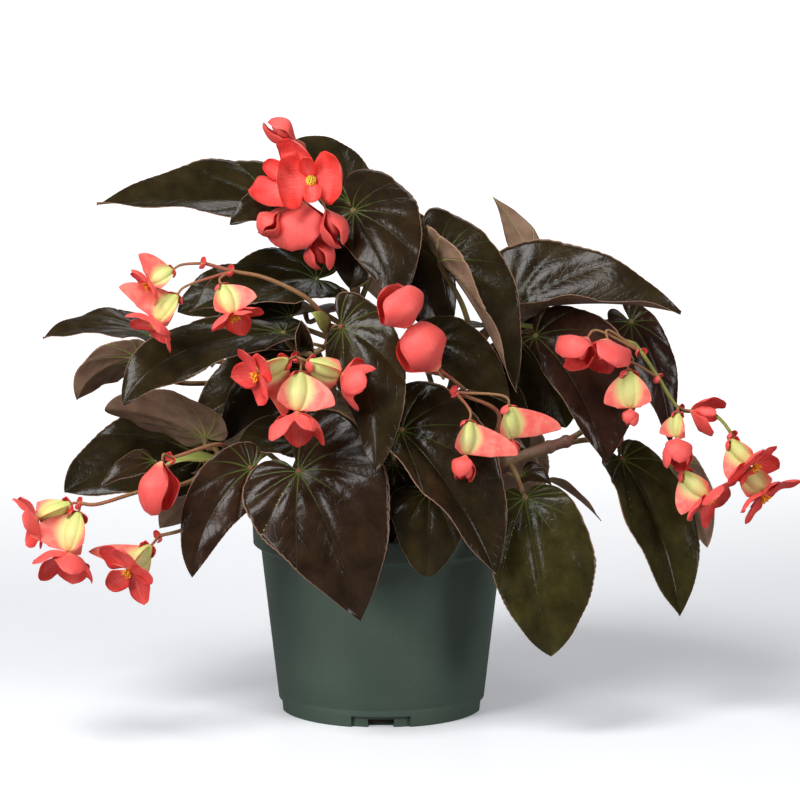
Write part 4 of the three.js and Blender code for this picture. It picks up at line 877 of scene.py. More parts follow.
def bloomShapes(plan, seed):
    # the tepals, ovary and heart of one bloom
    male = plan["kind"] == "male"
    look = bloomLook[plan["kind"]]
    looks = unit(np.array(plan["face"], float))
    across = roundAbout(looks, unit(np.cross([0, 0, 1.0], looks)), plan.get("roll", 0) * degree)
    if "aim" in plan:
        aim = np.array(plan["aim"], float)
        across = roundAbout(looks, unit(aim - (aim @ looks) * looks), -math.pi / 6)
    start = np.array(plan["at"], float)
    size, tilt, cup, length = plan["size"], plan["open"], bloomLook["femaleCup"], 0
    closed = smoothStep(*bloomLook["closing"], tilt)
    if male:
        tilt = tilt + bloomLook["closedTilt"] * closed
        cup = bloomLook["openCup"] * (1 - tilt / 90) + bloomLook["closedCup"] * closed
        cup = cup + bloomLook["leastCup"]
    else:
        length = size * bloomLook["ovaryLength"]
    centre = start + looks * length
    tepals = []
    for i in range(look["tepals"]):
        share = look["narrow"] if i % 2 else look["wide"]
        odd = math.sin(2.3 * i + 9 * seed)
        lobe = dict(
            angle=360 * i / look["tepals"] + 5 * odd, kind=plan["kind"], layer=i % 2,
            length=size * share[0] * plan.get("petals", 1) * (1 + 0.07 * odd),
            width=size * share[1] * plan.get("width", 1) * plan.get("petals", 1) * (1 - 0.06 * odd),
            tilt=tilt + 7 * odd * (1 - closed), bulge=0.02 + 0.16 * max(tilt - 20, 0) / 70,
        )
        tepals.append(tepalShape(centre, looks, across, lobe, cup, (seed * 0.37 + i * 0.23) % 1, seed % 1))
    showing = tilt < bloomLook["heartTilt"]
    if male:
        return tepals, [], stamenShapes(start, looks, across) if showing else []
    wings = [wing * size for wing in plan["wings"]]
    ovary = ovaryShape(start, looks, across, length, wings, seed % 1)
    tepals += bractPair(start, looks, size * bloomLook["bractLength"], seed)
    return tepals, [ovary], styleShapes(centre, looks, across) if showing else []


def sprayLines(plan):
    # the stalk from the cane through its points, and the bloom stalks that branch from it
    root = lineAt(canePlan[plan["cane"]]["line"], plan["at"])
    points = [root, *[np.array(p, float) for p in plan["line"]]]
    stalk = smoothLine(points, stemLook["stalkSteps"])
    pedicels = []
    for bloom in plan["blooms"]:
        looks = unit(np.array(bloom["face"], float))
        end = np.array(bloom["at"], float) + looks * 0.4
        fork = points[bloom["branch"] + 1]
        fork = stalk[np.argmin(np.linalg.norm(stalk - fork, axis=1))]
        last = end - looks * min(6, 0.35 * np.linalg.norm(end - fork))
        pedicels.append(smoothLine([fork, last, end], stemLook["pedicelSteps"]))
    return stalk, pedicels


# materials


def addNode(tree, kind, values=None, **settings):
    # a node with its settings, each input either joined to another node's output or given a value
    node = tree.nodes.new(kind)
    for key, value in settings.items():
        setattr(node, key, value)
    for key, value in (values or {}).items():
        if isinstance(value, bpy.types.NodeSocket):
            tree.links.new(value, node.inputs[key])
        else:
            node.inputs[key].default_value = value
    return node


def mathOf(tree, operation, *values):
    # a Math node
    return addNode(tree, "ShaderNodeMath", dict(enumerate(values)), operation=operation).outputs[0]


def times(tree, first, second):
    # the product of two values
    return mathOf(tree, "MULTIPLY", first, second)


def plus(tree, first, second):
    # the sum of two values
    return mathOf(tree, "ADD", first, second)


def minus(tree, first, second):
    # the second value taken from the first
    return mathOf(tree, "SUBTRACT", first, second)


def rampOf(tree, factor, *stops):
    # a colour ramp with its stops as place and colour
    node = addNode(tree, "ShaderNodeValToRGB", {"Fac": factor})
    for i, (place, colour) in enumerate(stops):
        stop = node.color_ramp.elements[i] if i < 2 else node.color_ramp.elements.new(place)
        stop.position = place
        stop.color = (*colour, 1)
    return node.outputs["Color"]


def shadesOf(tree, factor, shades, low=0.3, high=0.7):
    # from the dark shade at the low place to the light one at the high place
    return rampOf(tree, factor, (low, shades[0]), (high, shades[1]))


def mixOf(tree, factor, first, second):
    # one colour over another
    node = addNode(tree, "ShaderNodeMix", {"Factor": factor}, data_type="RGBA")
    for index, value in ((6, first), (7, second)):  # the colour inputs A and B
        if isinstance(value, bpy.types.NodeSocket):
            tree.links.new(value, node.inputs[index])
        else:
            node.inputs[index].default_value = (*value, 1)
    return node.outputs[2]


def rangeOf(tree, value, low, high, toLow=0.0, toHigh=1.0):
    # a value carried smoothly from one range to another
    values = {"Value": value, "From Min": low, "From Max": high, "To Min": toLow, "To Max": toHigh}
    return addNode(tree, "ShaderNodeMapRange", values, interpolation_type="SMOOTHSTEP").outputs[0]


def noiseOf(tree, vector, scale, detail=4.0, rough=0.55):
    # a noise value at points of the vector
    values = {"Vector": vector, "Scale": scale, "Detail": detail, "Roughness": rough}
    return addNode(tree, "ShaderNodeTexNoise", values).outputs["Fac"]


def streaksOf(tree, vector, stretch, scale, detail=4.0, rough=0.55):
    # noise that is drawn out along the axis with the smallest stretch
    mapping = addNode(tree, "ShaderNodeMapping", {"Vector": vector, "Scale": stretch})
    return noiseOf(tree, mapping.outputs[0], scale, detail, rough)


def attributeOf(tree, name, output="Fac"):
    # a value kept in the mesh
    return addNode(tree, "ShaderNodeAttribute", attribute_name=name).outputs[output]


def objectPlace(tree):
    # the Object coordinates, in metres
    return addNode(tree, "ShaderNodeTexCoord").outputs["Object"]


def newGroup(name, inputs, outputs):
    # a shader node group with its named sockets
    group = bpy.data.node_groups.new(name, "ShaderNodeTree")
    for key in inputs:
        kind = "NodeSocketVector" if key in ("Place", "Vector") else "NodeSocketFloat"
        group.interface.new_socket(key, in_out="INPUT", socket_type=kind)
    for key in outputs:
        group.interface.new_socket(key, in_out="OUTPUT", socket_type="NodeSocketFloat")
    return group, group.nodes.new("NodeGroupInput").outputs, group.nodes.new("NodeGroupOutput").inputs


veinLook = dict(
    width=0.075, narrowing=0.045, sideWidth=0.1, wiggle=0.5, wiggleScale=1.6, cellScale=2.6, cellWidth=0.22,
    near=[0.05, 0.36],
)


def veinGroup(look):
    # main veins: rays from the leaf's base that bend towards the tip; side veins: chevrons between them;
    # cells: the net between those; near: 1 close to the base; all places are in centimetres
    tree, given, out = newGroup("leafVeins", ["Place", "Spacing"], ["Main", "Side", "Cells", "Near"])
    x, y, length = addNode(tree, "ShaderNodeSeparateXYZ", {0: given["Place"]}).outputs
    radius = mathOf(tree, "SQRT", plus(tree, times(tree, x, x), times(tree, y, y)))
    share = mathOf(tree, "DIVIDE", radius, length)
    bend = plus(tree, times(tree, share, leafLook["veinBend"]), 1.0)
    angle = times(tree, mathOf(tree, "ARCTAN2", y, x), bend)
    ray = mathOf(tree, "DIVIDE", angle, given["Spacing"])
    off = mathOf(tree, "ABSOLUTE", minus(tree, ray, mathOf(tree, "ROUND", ray)))
    away = times(tree, times(tree, off, given["Spacing"]), radius)
    width = minus(tree, look["width"], times(tree, share, look["narrowing"]))
    main = minus(tree, 1.0, mathOf(tree, "DIVIDE", away, width))
    tree.links.new(mathOf(tree, "MAXIMUM", main, 0.0), out["Main"])
    chevron = minus(tree, radius, times(tree, away, leafLook["sideSlant"]))
    chevron = mathOf(tree, "DIVIDE", chevron, leafLook["sideSpacing"] / 10)
    wiggle = noiseOf(tree, given["Place"], look["wiggleScale"], 2.0)
    chevron = plus(tree, chevron, times(tree, wiggle, look["wiggle"]))
    side = mathOf(tree, "ABSOLUTE", minus(tree, chevron, mathOf(tree, "ROUND", chevron)))
    tree.links.new(rangeOf(tree, side, 0.0, look["sideWidth"], 1.0, 0.0), out["Side"])
    values = {"Vector": given["Place"], "Scale": look["cellScale"]}
    cells = addNode(tree, "ShaderNodeTexVoronoi", values, feature="DISTANCE_TO_EDGE")
    tree.links.new(rangeOf(tree, cells.outputs["Distance"], 0.0, look["cellWidth"]), out["Cells"])
    tree.links.new(rangeOf(tree, share, *look["near"], 1.0, 0.0), out["Near"])
    return tree


def mottleGroup():
    # patches: slow change over a few centimetres; grain: fine change under a millimetre
    tree, given, out = newGroup("mottle", ["Vector", "Patch", "Fine"], ["Patches", "Grain"])
    tree.links.new(noiseOf(tree, given["Vector"], given["Patch"], 3.0), out["Patches"])
    tree.links.new(noiseOf(tree, given["Vector"], given["Fine"], 6.0, 0.7), out["Grain"])
    return tree


veins = veinGroup(veinLook)
mottle = mottleGroup()


def newMaterial(name, **constants):
    # a material with its Principled shader and the constants that are the same all over
    material = bpy.data.materials.new(name)
    material.use_nodes = True
    tree = material.node_tree
    shader = tree.nodes["Principled BSDF"]
    for key, value in constants.items():
        shader.inputs[key].default_value = value
    return material, tree, shader.inputs


def juicyMaterial(name, depth, weight, **constants):
    # a material that lets a little light in, to the depth in metres
    values = {"Subsurface Weight": weight, "Subsurface Scale": depth, "IOR": 1.4}
    return newMaterial(name, **values, **constants)


def mottleIn(tree, vector, patch, fine):
    # the mottle group placed in a material
    values = {"Vector": vector, "Patch": patch, "Fine": fine}
    return addNode(tree, "ShaderNodeGroup", values, node_tree=mottle).outputs


def noiseRange(tree, noise, toLow, toHigh):
    # the usual range of a noise, 0.3 to 0.7, carried to another range
    return rangeOf(tree, noise, 0.3, 0.7, toLow, toHigh)


def finishSkin(tree, to, colour, rough, relief, height):
    # the colour, the roughness and the relief, whose height is in metres, joined to the shader
    bump = addNode(tree, "ShaderNodeBump", {"Height": relief, "Distance": height}).outputs["Normal"]
    for key, value in (("Base Color", colour), ("Roughness", rough), ("Normal", bump)):
        tree.links.new(value, to[key])


leafColours = dict(
    bronze=[(0.007, 0.0045, 0.0022), (0.019, 0.012, 0.0045)],
    olive=[(0.017, 0.0145, 0.0032), (0.042, 0.036, 0.007)],
    wine=[(0.018, 0.006, 0.004), (0.042, 0.014, 0.009)],
    dust=(0.035, 0.025, 0.014), faintVein=(0.06, 0.055, 0.02), greenVein=(0.1, 0.15, 0.025),
    under=[(0.17, 0.1, 0.062), (0.29, 0.185, 0.125)], underSide=(0.3, 0.17, 0.12), underMain=(0.3, 0.3, 0.1),
    underGreen=(0.34, 0.42, 0.1), rim=(0.3, 0.17, 0.115),
)
leafFinish = dict(
    patch=0.9, fine=14.0, gloss=0.13, uneven=0.22, underRough=0.3, coat=0.1, relief=0.0006, crinkle=0.45,
    crinkleScale=1.8, net=0.06, sideGroove=0.1, mainGroove=0.5, grain=0.004,
)


def leafMaterial(colours, look):
    # dark glossy upper side, crinkled between its veins; pink-brown veined underside; pale rim
    material, tree, to = newMaterial("leafSkin", **{"Coat Roughness": 0.17, "Specular IOR Level": 0.1})
    place = attributeOf(tree, "place", "Vector")
    patches, grain = mottleIn(tree, place, look["patch"], look["fine"])
    values = {"Place": place, "Spacing": leafLook["veinSpacing"]}
    mainVein, sideVein, cells, near = addNode(tree, "ShaderNodeGroup", values, node_tree=veins).outputs
    tops = ("bronze", "olive", "wine")
    bronze, olive, wine = [shadesOf(tree, patches, colours[key], high=0.75) for key in tops]
    top = mixOf(tree, attributeOf(tree, "tone"), bronze, olive)
    top = mixOf(tree, attributeOf(tree, "maroon"), top, wine)
    top = mixOf(tree, times(tree, grain, 0.2), top, colours["dust"])
    green = times(tree, rangeOf(tree, mainVein, 0.0, 0.6), near)
    faint = times(tree, rangeOf(tree, mainVein, 0.0, 0.7), 0.25)
    top = mixOf(tree, faint, top, colours["faintVein"])
    top = mixOf(tree, times(tree, green, 0.5), top, colours["greenVein"])
    below = shadesOf(tree, patches, colours["under"])
    below = mixOf(tree, times(tree, sideVein, 0.25), below, colours["underSide"])
    below = mixOf(tree, rangeOf(tree, mainVein, 0.0, 0.8, 0.0, 0.8), below, colours["underMain"])
    below = mixOf(tree, times(tree, green, 0.85), below, colours["underGreen"])
    under = attributeOf(tree, "under")
    rim = rangeOf(tree, attributeOf(tree, "rim"), 0.97, 0.995, 0.0, 0.9)
    colour = mixOf(tree, rim, mixOf(tree, under, top, below), colours["rim"])
    rough = plus(tree, times(tree, patches, look["uneven"]), look["gloss"])
    rough = plus(tree, rough, times(tree, under, look["underRough"]))
    tree.links.new(times(tree, minus(tree, 1.0, under), look["coat"]), to["Coat Weight"])
    relief = times(tree, noiseOf(tree, place, look["crinkleScale"], 2.0), look["crinkle"])
    relief = plus(tree, relief, times(tree, cells, look["net"]))
    relief = minus(tree, relief, times(tree, sideVein, look["sideGroove"]))
    relief = minus(tree, relief, rangeOf(tree, mainVein, 0.0, 1.0, 0.0, look["mainGroove"]))
    relief = plus(tree, relief, times(tree, grain, look["grain"]))
    finishSkin(tree, to, colour, rough, relief, look["relief"])
    return material


petalColours = dict(
    coral=(0.8, 0.03, 0.02), rose=(0.74, 0.04, 0.042), pink=[(0.84, 0.055, 0.045), (0.88, 0.13, 0.11)],
    streak=(0.66, 0.022, 0.018), back=(0.83, 0.12, 0.105), claw=(0.9, 0.5, 0.25), scatter=(1.0, 0.35, 0.3),
)


def petalMaterial(colours):
    # coral at the rim and paler pink in the middle, with fine streaks along the tepal
    material, tree, to = juicyMaterial("petalSkin", 0.004, 0.25, **{"Sheen Weight": 0.04})
    to["Subsurface Radius"].default_value = colours["scatter"]
    place = attributeOf(tree, "place", "Vector")
    streaks = streaksOf(tree, place, (9.0, 0.8, 3.0), 1.6, 5.0, 0.65)
    patches, grain = mottleIn(tree, place, 1.2, 40.0)
    colour = mixOf(tree, attributeOf(tree, "tone"), colours["coral"], colours["rose"])
    pink = shadesOf(tree, patches, colours["pink"], high=0.75)
    colour = mixOf(tree, rangeOf(tree, attributeOf(tree, "rim"), 0.15, 0.95, 0.85, 0.0), colour, pink)
    colour = mixOf(tree, rangeOf(tree, streaks, 0.42, 0.66, 0.0, 0.7), colour, colours["streak"])
    colour = mixOf(tree, times(tree, attributeOf(tree, "under"), 0.5), colour, colours["back"])
    claw = rangeOf(tree, attributeOf(tree, "span"), 0.0, 0.16, 0.6, 0.0)
    colour = mixOf(tree, claw, colour, colours["claw"])
    relief = plus(tree, streaks, times(tree, grain, 0.2))
    finishSkin(tree, to, colour, noiseRange(tree, grain, 0.38, 0.55), relief, 0.00035)
    return material


ovaryColours = dict(
    body=[(0.42, 0.46, 0.13), (0.62, 0.58, 0.24), (0.72, 0.46, 0.2)],  # from the stalk to the tepals
    patch=(0.62, 0.66, 0.24), green=(0.5, 0.55, 0.13), wing=[(0.8, 0.11, 0.09), (0.82, 0.2, 0.15)],
)


def ovaryMaterial(colours):
    # cream-green body, yellower towards the tepals, with coral on the edges of its wings
    material, tree, to = juicyMaterial("ovarySkin", 0.003, 0.2)
    place = attributeOf(tree, "place", "Vector")
    patches, grain = mottleIn(tree, place, 2.0, 30.0)
    body = rampOf(tree, attributeOf(tree, "span"), *zip((0.0, 0.55, 1.0), colours["body"]))
    body = mixOf(tree, times(tree, patches, 0.4), body, colours["patch"])
    body = mixOf(tree, times(tree, attributeOf(tree, "tone"), 0.5), body, colours["green"])
    wing = plus(tree, attributeOf(tree, "wing"), noiseRange(tree, grain, -0.12, 0.12))
    coral = mixOf(tree, rangeOf(tree, patches, 0.35, 0.65), *colours["wing"])
    colour = mixOf(tree, rangeOf(tree, wing, 0.02, 0.5), body, coral)
    finishSkin(tree, to, colour, noiseRange(tree, grain, 0.36, 0.5), grain, 0.0002)
    return material


heartColours = dict(
    stamenSkin=[(0.72, 0.5, 0.03), (0.85, 0.72, 0.1)], styleSkin=[(0.85, 0.26, 0.01), (0.95, 0.5, 0.03)]
)


def heartMaterial(name, colours):
    # the papery, knobbly surface of stamens and styles
    material, tree, to = juicyMaterial(name, 0.001, 0.15)
    patches, grain = mottleIn(tree, objectPlace(tree), 300.0, 2500.0)
    colour = shadesOf(tree, patches, colours[name])
    finishSkin(tree, to, colour, noiseRange(tree, grain, 0.5, 0.7), grain, 0.0002)
    return material


stemColours = dict(
    caneSkin=dict(skin=[(0.13, 0.07, 0.04), (0.2, 0.13, 0.06)], blush=(0.11, 0.035, 0.025)),
    petioleSkin=dict(skin=[(0.16, 0.1, 0.04), (0.3, 0.22, 0.08)], blush=(0.2, 0.06, 0.035)),
    stalkSkin=dict(skin=[(0.24, 0.1, 0.05), (0.34, 0.21, 0.08)], blush=(0.33, 0.075, 0.045)),
    fresh=(0.25, 0.29, 0.06), pore=(0.45, 0.36, 0.2),
)


def stemMaterial(name, colours):
    # a juicy stem, streaked lengthwise, with small pale pores and a red blush
    material, tree, to = juicyMaterial(name, 0.002, 0.1)
    streaks = streaksOf(tree, attributeOf(tree, "place", "Vector"), (4.0, 4.0, 0.7), 2.2)
    patches, grain = mottleIn(tree, objectPlace(tree), 45.0, 700.0)
    colour = shadesOf(tree, streaks, colours[name]["skin"])
    colour = mixOf(tree, rangeOf(tree, patches, 0.42, 0.62, 0.0, 0.85), colour, colours[name]["blush"])
    colour = mixOf(tree, rangeOf(tree, attributeOf(tree, "tone"), 0.75, 1.0), colour, colours["fresh"])
    pores = rangeOf(tree, grain, 0.62, 0.7, 0.0, 0.4)
    colour = mixOf(tree, pores, colour, colours["pore"])
    finishSkin(tree, to, colour, noiseRange(tree, streaks, 0.34, 0.5), plus(tree, streaks, pores), 0.0004)
    return material


stipuleColours = dict(scale=[(0.36, 0.44, 0.09), (0.52, 0.57, 0.18)], rim=(0.3, 0.14, 0.06))


def stipuleMaterial(colours):
    # a thin light-green scale, browner towards its rim, with fine streaks along it
    material, tree, to = juicyMaterial("stipuleSkin", 0.002, 0.2)
    place = attributeOf(tree, "place", "Vector")
    streaks = streaksOf(tree, place, (0.8, 9.0, 3.0), 1.8)
    patches, grain = mottleIn(tree, place, 2.0, 40.0)
    brown = rangeOf(tree, plus(tree, attributeOf(tree, "rim"), patches), 1.1, 1.6, 0.0, 0.7)
    colour = mixOf(tree, brown, shadesOf(tree, streaks, colours["scale"]), colours["rim"])
    finishSkin(tree, to, colour, noiseRange(tree, grain, 0.4, 0.55), streaks, 0.0003)
    return material


leafSkin = leafMaterial(leafColours, leafFinish)
stipuleSkin = stipuleMaterial(stipuleColours)
petalSkin = petalMaterial(petalColours)
ovarySkin = ovaryMaterial(ovaryColours)
stamenSkin, styleSkin = [heartMaterial(name, heartColours) for name in ("stamenSkin", "styleSkin")]
caneSkin, petioleSkin, stalkSkin = [
    stemMaterial(name, stemColours) for name in ("caneSkin", "petioleSkin", "stalkSkin")
]
print("materials made")


# the plant's pieces

leafTones = dict(  # how olive and how wine-red a leaf is
    leaf_low_right=[0.9, 0], leaf_far_right=[0.8, 0], leaf_top_left=[0.35, 0.1], leaf_left_behind=[0.6, 0.1],
    leaf_right_hanging=[0, 0.8], leaf_front=[0.05, 0.35], leaf_front_right=[0.15, 0.15], leaf_rim=[0.5, 0.2],
    leaf_low_left=[0.3, 0.6], leaf_left_round=[0.15, 0], leaf_right_inner=[0, 0.9],
)

for order, (name, plan) in enumerate(leafPlan.items()):
    tones = leafTones.get(name, [0.15 + 0.25 * ((order * 0.37) % 1), 0.3 * ((order * 0.61) % 1)])
    shape = leafSurface(plan, leafShape, leafLook, order * 0.618, *tones)
    makePiece(name.replace("leaf", "blade", 1), [shape], leafSkin, "leaf", name)
print("leaves made:", len(leafPlan))

youngLook = dict(
    leafLook, rows=40, columns=15, thickness=0.5, quilt=0.5, sideQuilt=0.15, wave=0.8, tone=0.3, maroon=0.5
)
for name, cane in canePlan.items():
    petioles = [petioleShape(p, stemLook["petioleRadius"]) for p in leafPlan.values() if p["cane"] == name]
    young, stipules = [], []
    for i, plan in enumerate(youngPlan):
        if plan["cane"] == name:
            petioles.append(petioleShape(plan, stemLook["youngRadius"]))
            tones = youngLook["tone"], youngLook["maroon"]
            young.append(leafSurface(plan, leafShape, youngLook, 0.3 * i, *tones))
    for i, plan in enumerate(stipulePlan):
        if plan["cane"] == name:
            plan = dict(plan, base=lineAt(cane["line"], plan["at"]))
            stipules.append(leafSurface(plan, stipuleShape, youngLook, 0.4 * i))
    place = name.split("_", 1)[1]
    makePiece("stem_" + place, [caneShape(name)], caneSkin, "stem", name)
    makePiece("petioles_" + place, petioles, petioleSkin, "stem", name)
    if young:
        makePiece("young_" + place, young, leafSkin, "leaf", name)
    if stipules:
        makePiece("stipules_" + place, stipules, stipuleSkin, "leaf", name)
print("stems made:", len(canePlan))

for order, (name, plan) in enumerate(sprayPlan.items()):
    stalk, pedicels = sprayLines(plan)
    radii = stemLook["stalkRadius"] * np.linspace(1.15, 0.8, len(stalk))
    stems = [tubeShape(stalk, radii, stemLook["stalkSides"], stemLook["fresh"].get(name, 0))]
    for line in pedicels:
        radii = stemLook["pedicelRadius"] * np.linspace(1.15, 0.9, len(line))
        stems.append(tubeShape(line, radii, stemLook["pedicelSides"]))
    tepals, ovaries, stamens, styles = [], [], [], []
    for i, bloom in enumerate(plan["blooms"]):
        petals, ovary, heart = bloomShapes(bloom, order * 0.31 + i * 0.43)
        tepals += petals
        ovaries += ovary
        (stamens if bloom["kind"] == "male" else styles).extend(heart)
    for i, fork in enumerate(sorted({bloom["branch"] for bloom in plan["blooms"]})):
        k = np.argmin(np.linalg.norm(stalk - np.array(plan["line"][fork], float), axis=1))
        way = unit(stalk[min(k + 1, len(stalk) - 1)] - stalk[k - 1])
        tepals += bractPair(stalk[k], way, bractLook["length"], order * 0.4 + i * 0.3)
    place = name.split("_", 1)[1]
    makePiece("stalks_" + place, stems, stalkSkin, "stem", name)
    for kind, shapes, skin in (
        ("tepals_", tepals, petalSkin), ("ovaries_", ovaries, ovarySkin), ("stamens_", stamens, stamenSkin),
        ("styles_", styles, styleSkin),
    ):
        if shapes:
            makePiece(kind + place, shapes, skin, "bloom", name)
print("sprays made:", len(sprayPlan))


# the pot and its soil

potLook = dict(
    topRadius=82.5, baseRadius=65.3, height=120.65, rimHeight=13.5, chamfer=4, rimStep=5.5, wall=1.4,
    rimWall=2.2, footHeight=8, footWall=3.9, floor=2, slots=4, slotWidth=17, slotHeight=5, recessWidth=37,
    recessHeight=7, recessDepth=2.4, columns=48, slotColumns=4, edge=0.8, crease=0.12, groove=11,
    grooveHalf=0.4, grooveDepth=0.12, rings=[30, 50, 70, 90, 102.6],
)
soilLook = dict(
    below=11, mound=4.5, rough=0.88, gap=1.3, sides=180, rings=60, neckHeight=102, footHeight=9, floor=2.35,
    lump=34, lumpShrink=1.75, lumpFade=1.5, lumpSteps=7, seed=7,
)
crumbLook = dict(
    count=900, size=[0.8, 2.6], clear=5, rings=5, sides=6, dent=0.2, tip=0.7, sunk=0.15, pale=0.05
)


def potProfile(look):
    # the outside of the pot from the middle of its base up to its lip, and the inside down again
    top, base, height, edge = look["topRadius"], look["baseRadius"], look["height"], look["edge"]
    lipZ = height - look["rimHeight"]
    neck, neckZ = top - look["rimStep"], lipZ - look["chamfer"]
    foot, reach = base - look["footWall"], base - look["slotWidth"] / 2
    taper = (neck - base) / (neckZ - edge)
    flare = (top - neck - edge) / look["chamfer"]
    recess, groove = look["recessHeight"], look["groove"]
    heights = [look["slotHeight"], recess, recess + look["crease"], groove - look["grooveHalf"], groove]
    heights += [groove + look["grooveHalf"], *look["rings"]]
    outside = [[0, 0], [30, 0], [reach, 0], [base - edge, 0], [base, edge]]
    outside += [[base + taper * (z - edge) - look["grooveDepth"] * (z == groove), z] for z in heights]
    outside += [
        [neck, neckZ], [neck + flare * 0.6, neckZ + 0.6], [top - edge, lipZ - 0.3], [top - 0.55, lipZ],
        [top - 0.5, lipZ + 0.8], [top - 0.05, height - 1.6], [top, height - 0.9],
        [top - 0.25, height - 0.3], [top - 0.8, height],
    ]
    inside = [
        [top - 1.5, height], [top - 1.9, height - 0.2], [top - 2.1, height - 0.8],
        [top - look["rimWall"], lipZ], [neck - look["wall"], neckZ], [base - look["wall"] + 0.2, 10.2],
        [foot, look["footHeight"]], [foot, look["slotHeight"]], [foot, 3.5], [foot, look["floor"]],
        [reach, look["floor"]], [30, look["floor"]], [0, look["floor"]],
    ]
    return np.array(outside), np.array(inside)


def potTurns(look):
    # the angles of one quarter's columns, from its middle, close together where a slot and its recess
    # end, and the half angles of the slot and of the recess
    half = np.array([look["slotWidth"], look["recessWidth"], look["recessWidth"] + 2 * look["crease"]]) / 2
    half = np.arcsin(half / look["baseRadius"])
    quarter = 2 * math.pi / look["slots"]
    steps = look["slotColumns"] + 1
    middle = [np.linspace(0, half[0], steps), np.linspace(half[0], half[1], steps)[1:], half[2:]]
    outer = np.linspace(half[2], quarter / 2, look["columns"] // 4 + 1)[1:]
    side = np.concatenate([*middle, outer])
    return np.concatenate([-side[:0:-1], side[:-1]]), half[0], half[1]


def potShape(look):
    # a profile turned about the z axis; inside a drain recess the wall is set back, and the cells of each
    # slot are left out of the outer and the inner wall and joined to each other by the slot's own walls
    outside, inside = potProfile(look)
    profile = np.concatenate([outside, inside])
    turn, slotHalf, recessHalf = potTurns(look)
    quarters = np.arange(look["slots"])[:, None] * 2 * math.pi / look["slots"]
    angle = (turn[None, :] + quarters - math.pi / 2).ravel()
    turn = np.tile(turn, look["slots"])
    radius = np.repeat(profile[:, :1], len(angle), axis=1)
    z = np.repeat(profile[:, 1:], len(angle), axis=1)
    outward = np.arange(len(profile))[:, None] < len(outside)
    recess = outward & (z <= look["recessHeight"] + 0.01) & (np.abs(turn)[None, :] <= recessHalf + 1e-6)
    radius = np.where(recess, np.minimum(radius, look["baseRadius"] - look["recessDepth"]), radius)
    points = np.stack([radius * np.cos(angle), radius * np.sin(angle), z], axis=-1)
    rows, columns = radius.shape
    face = quads(rows, columns, closed=True).reshape(rows - 1, columns, 4)
    inSlot = (turn >= -slotHalf - 1e-6) & (turn < slotHalf - 1e-6)
    a, b, deep = 2, rows - 6, 3  # a slot's first rows on the outside and on the inside, and how many
    keep = np.ones((rows - 1, columns), bool)
    keep[a:a + deep][:, inSlot] = False
    keep[b:b + deep][:, inSlot] = False
    index = np.arange(rows * columns).reshape(rows, columns)
    near = np.flatnonzero(inSlot)
    far = (near + 1) % columns
    walls = [
        np.stack([index[a + deep, near], index[a + deep, far], index[b, far], index[b, near]], axis=-1),
        np.stack([index[a, near], index[a, far], index[b + deep, far], index[b + deep, near]], axis=-1),
    ]
    first = near[np.abs(turn[near] + slotHalf) < 1e-4]
    last = far[np.abs(turn[far] - slotHalf) < 1e-4]
    for side in (first, last):
        for k in range(deep):
            corners = [index[a + k, side], index[a + k + 1, side]]
            corners += [index[b + deep - k - 1, side], index[b + deep - k, side]]
            walls.append(np.stack(corners, axis=-1))
    faces = np.concatenate([face[keep], *walls])
    return dict(points=points.reshape(-1, 3), faces=faces, smooth=np.ones(len(faces), bool), values={})


def lumps(x, y, look):
    # a sum of slanted waves of many sizes, each in its own seeded direction
    rng = np.random.default_rng(look["seed"])
    total = np.zeros_like(x)
    for k in range(look["lumpSteps"]):
        waveLength = look["lump"] / look["lumpShrink"] ** k
        way, shift = rng.uniform(0, 2 * math.pi, 2)
        across = (x * math.cos(way) + y * math.sin(way)) * 2 * math.pi / waveLength
        along = (y * math.cos(way) - x * math.sin(way)) * 2 * math.pi / (1.3 * waveLength)
        total = total + np.sin(across + shift) * np.cos(along - shift) / look["lumpFade"] ** k
    return total


def soilHeight(x, y, look):
    # a low mound with lumps that fade out towards the wall
    r = np.hypot(x, y) / (potLook["topRadius"] - potLook["rimWall"] - look["gap"])
    top = potLook["height"] - look["below"] + look["mound"] * (1 - r**2)
    return top + look["rough"] * lumps(x, y, look) * (1 - r**6)


def soilShape(look):
    # the mound on a polar grid, and below it the side and the flat bottom inside the pot
    rim = potLook["topRadius"] - potLook["rimWall"] - look["gap"]
    neck = potLook["topRadius"] - potLook["rimStep"] - potLook["wall"] - look["gap"]
    foot = potLook["baseRadius"] - potLook["footWall"] - look["gap"]
    angle = np.linspace(0, 2 * math.pi, look["sides"], endpoint=False)[None, :]
    r = (np.linspace(0, 1, look["rings"]) ** 0.8)[:, None] * (rim - 0.8)
    x, y = r * np.cos(angle), r * np.sin(angle)
    mound = np.stack([x, y, soilHeight(x, y, look)], axis=-1)
    floor = look["floor"]
    low = np.array([[neck, look["neckHeight"]], [foot, look["footHeight"]], [foot, floor], [0, floor]])
    r, z = low[:, :1], low[:, 1:]
    side = np.stack([r * np.cos(angle), r * np.sin(angle), z + 0 * angle], axis=-1)
    points = np.concatenate([mound, side])
    faces = quads(len(points), look["sides"], closed=True)
    points = points.reshape(-1, 3)
    smooth = np.ones(len(faces), bool)
    return dict(points=points, faces=faces, smooth=smooth, values=dict(tone=np.zeros(len(points))))


def turned(p, first, second, angle):
    # points turned by the angle from their first axis towards their second
    p = p.copy()
    a, b = p[..., first].copy(), p[..., second].copy()
    p[..., first] = a * np.cos(angle) - b * np.sin(angle)
    p[..., second] = a * np.sin(angle) + b * np.cos(angle)
    return p


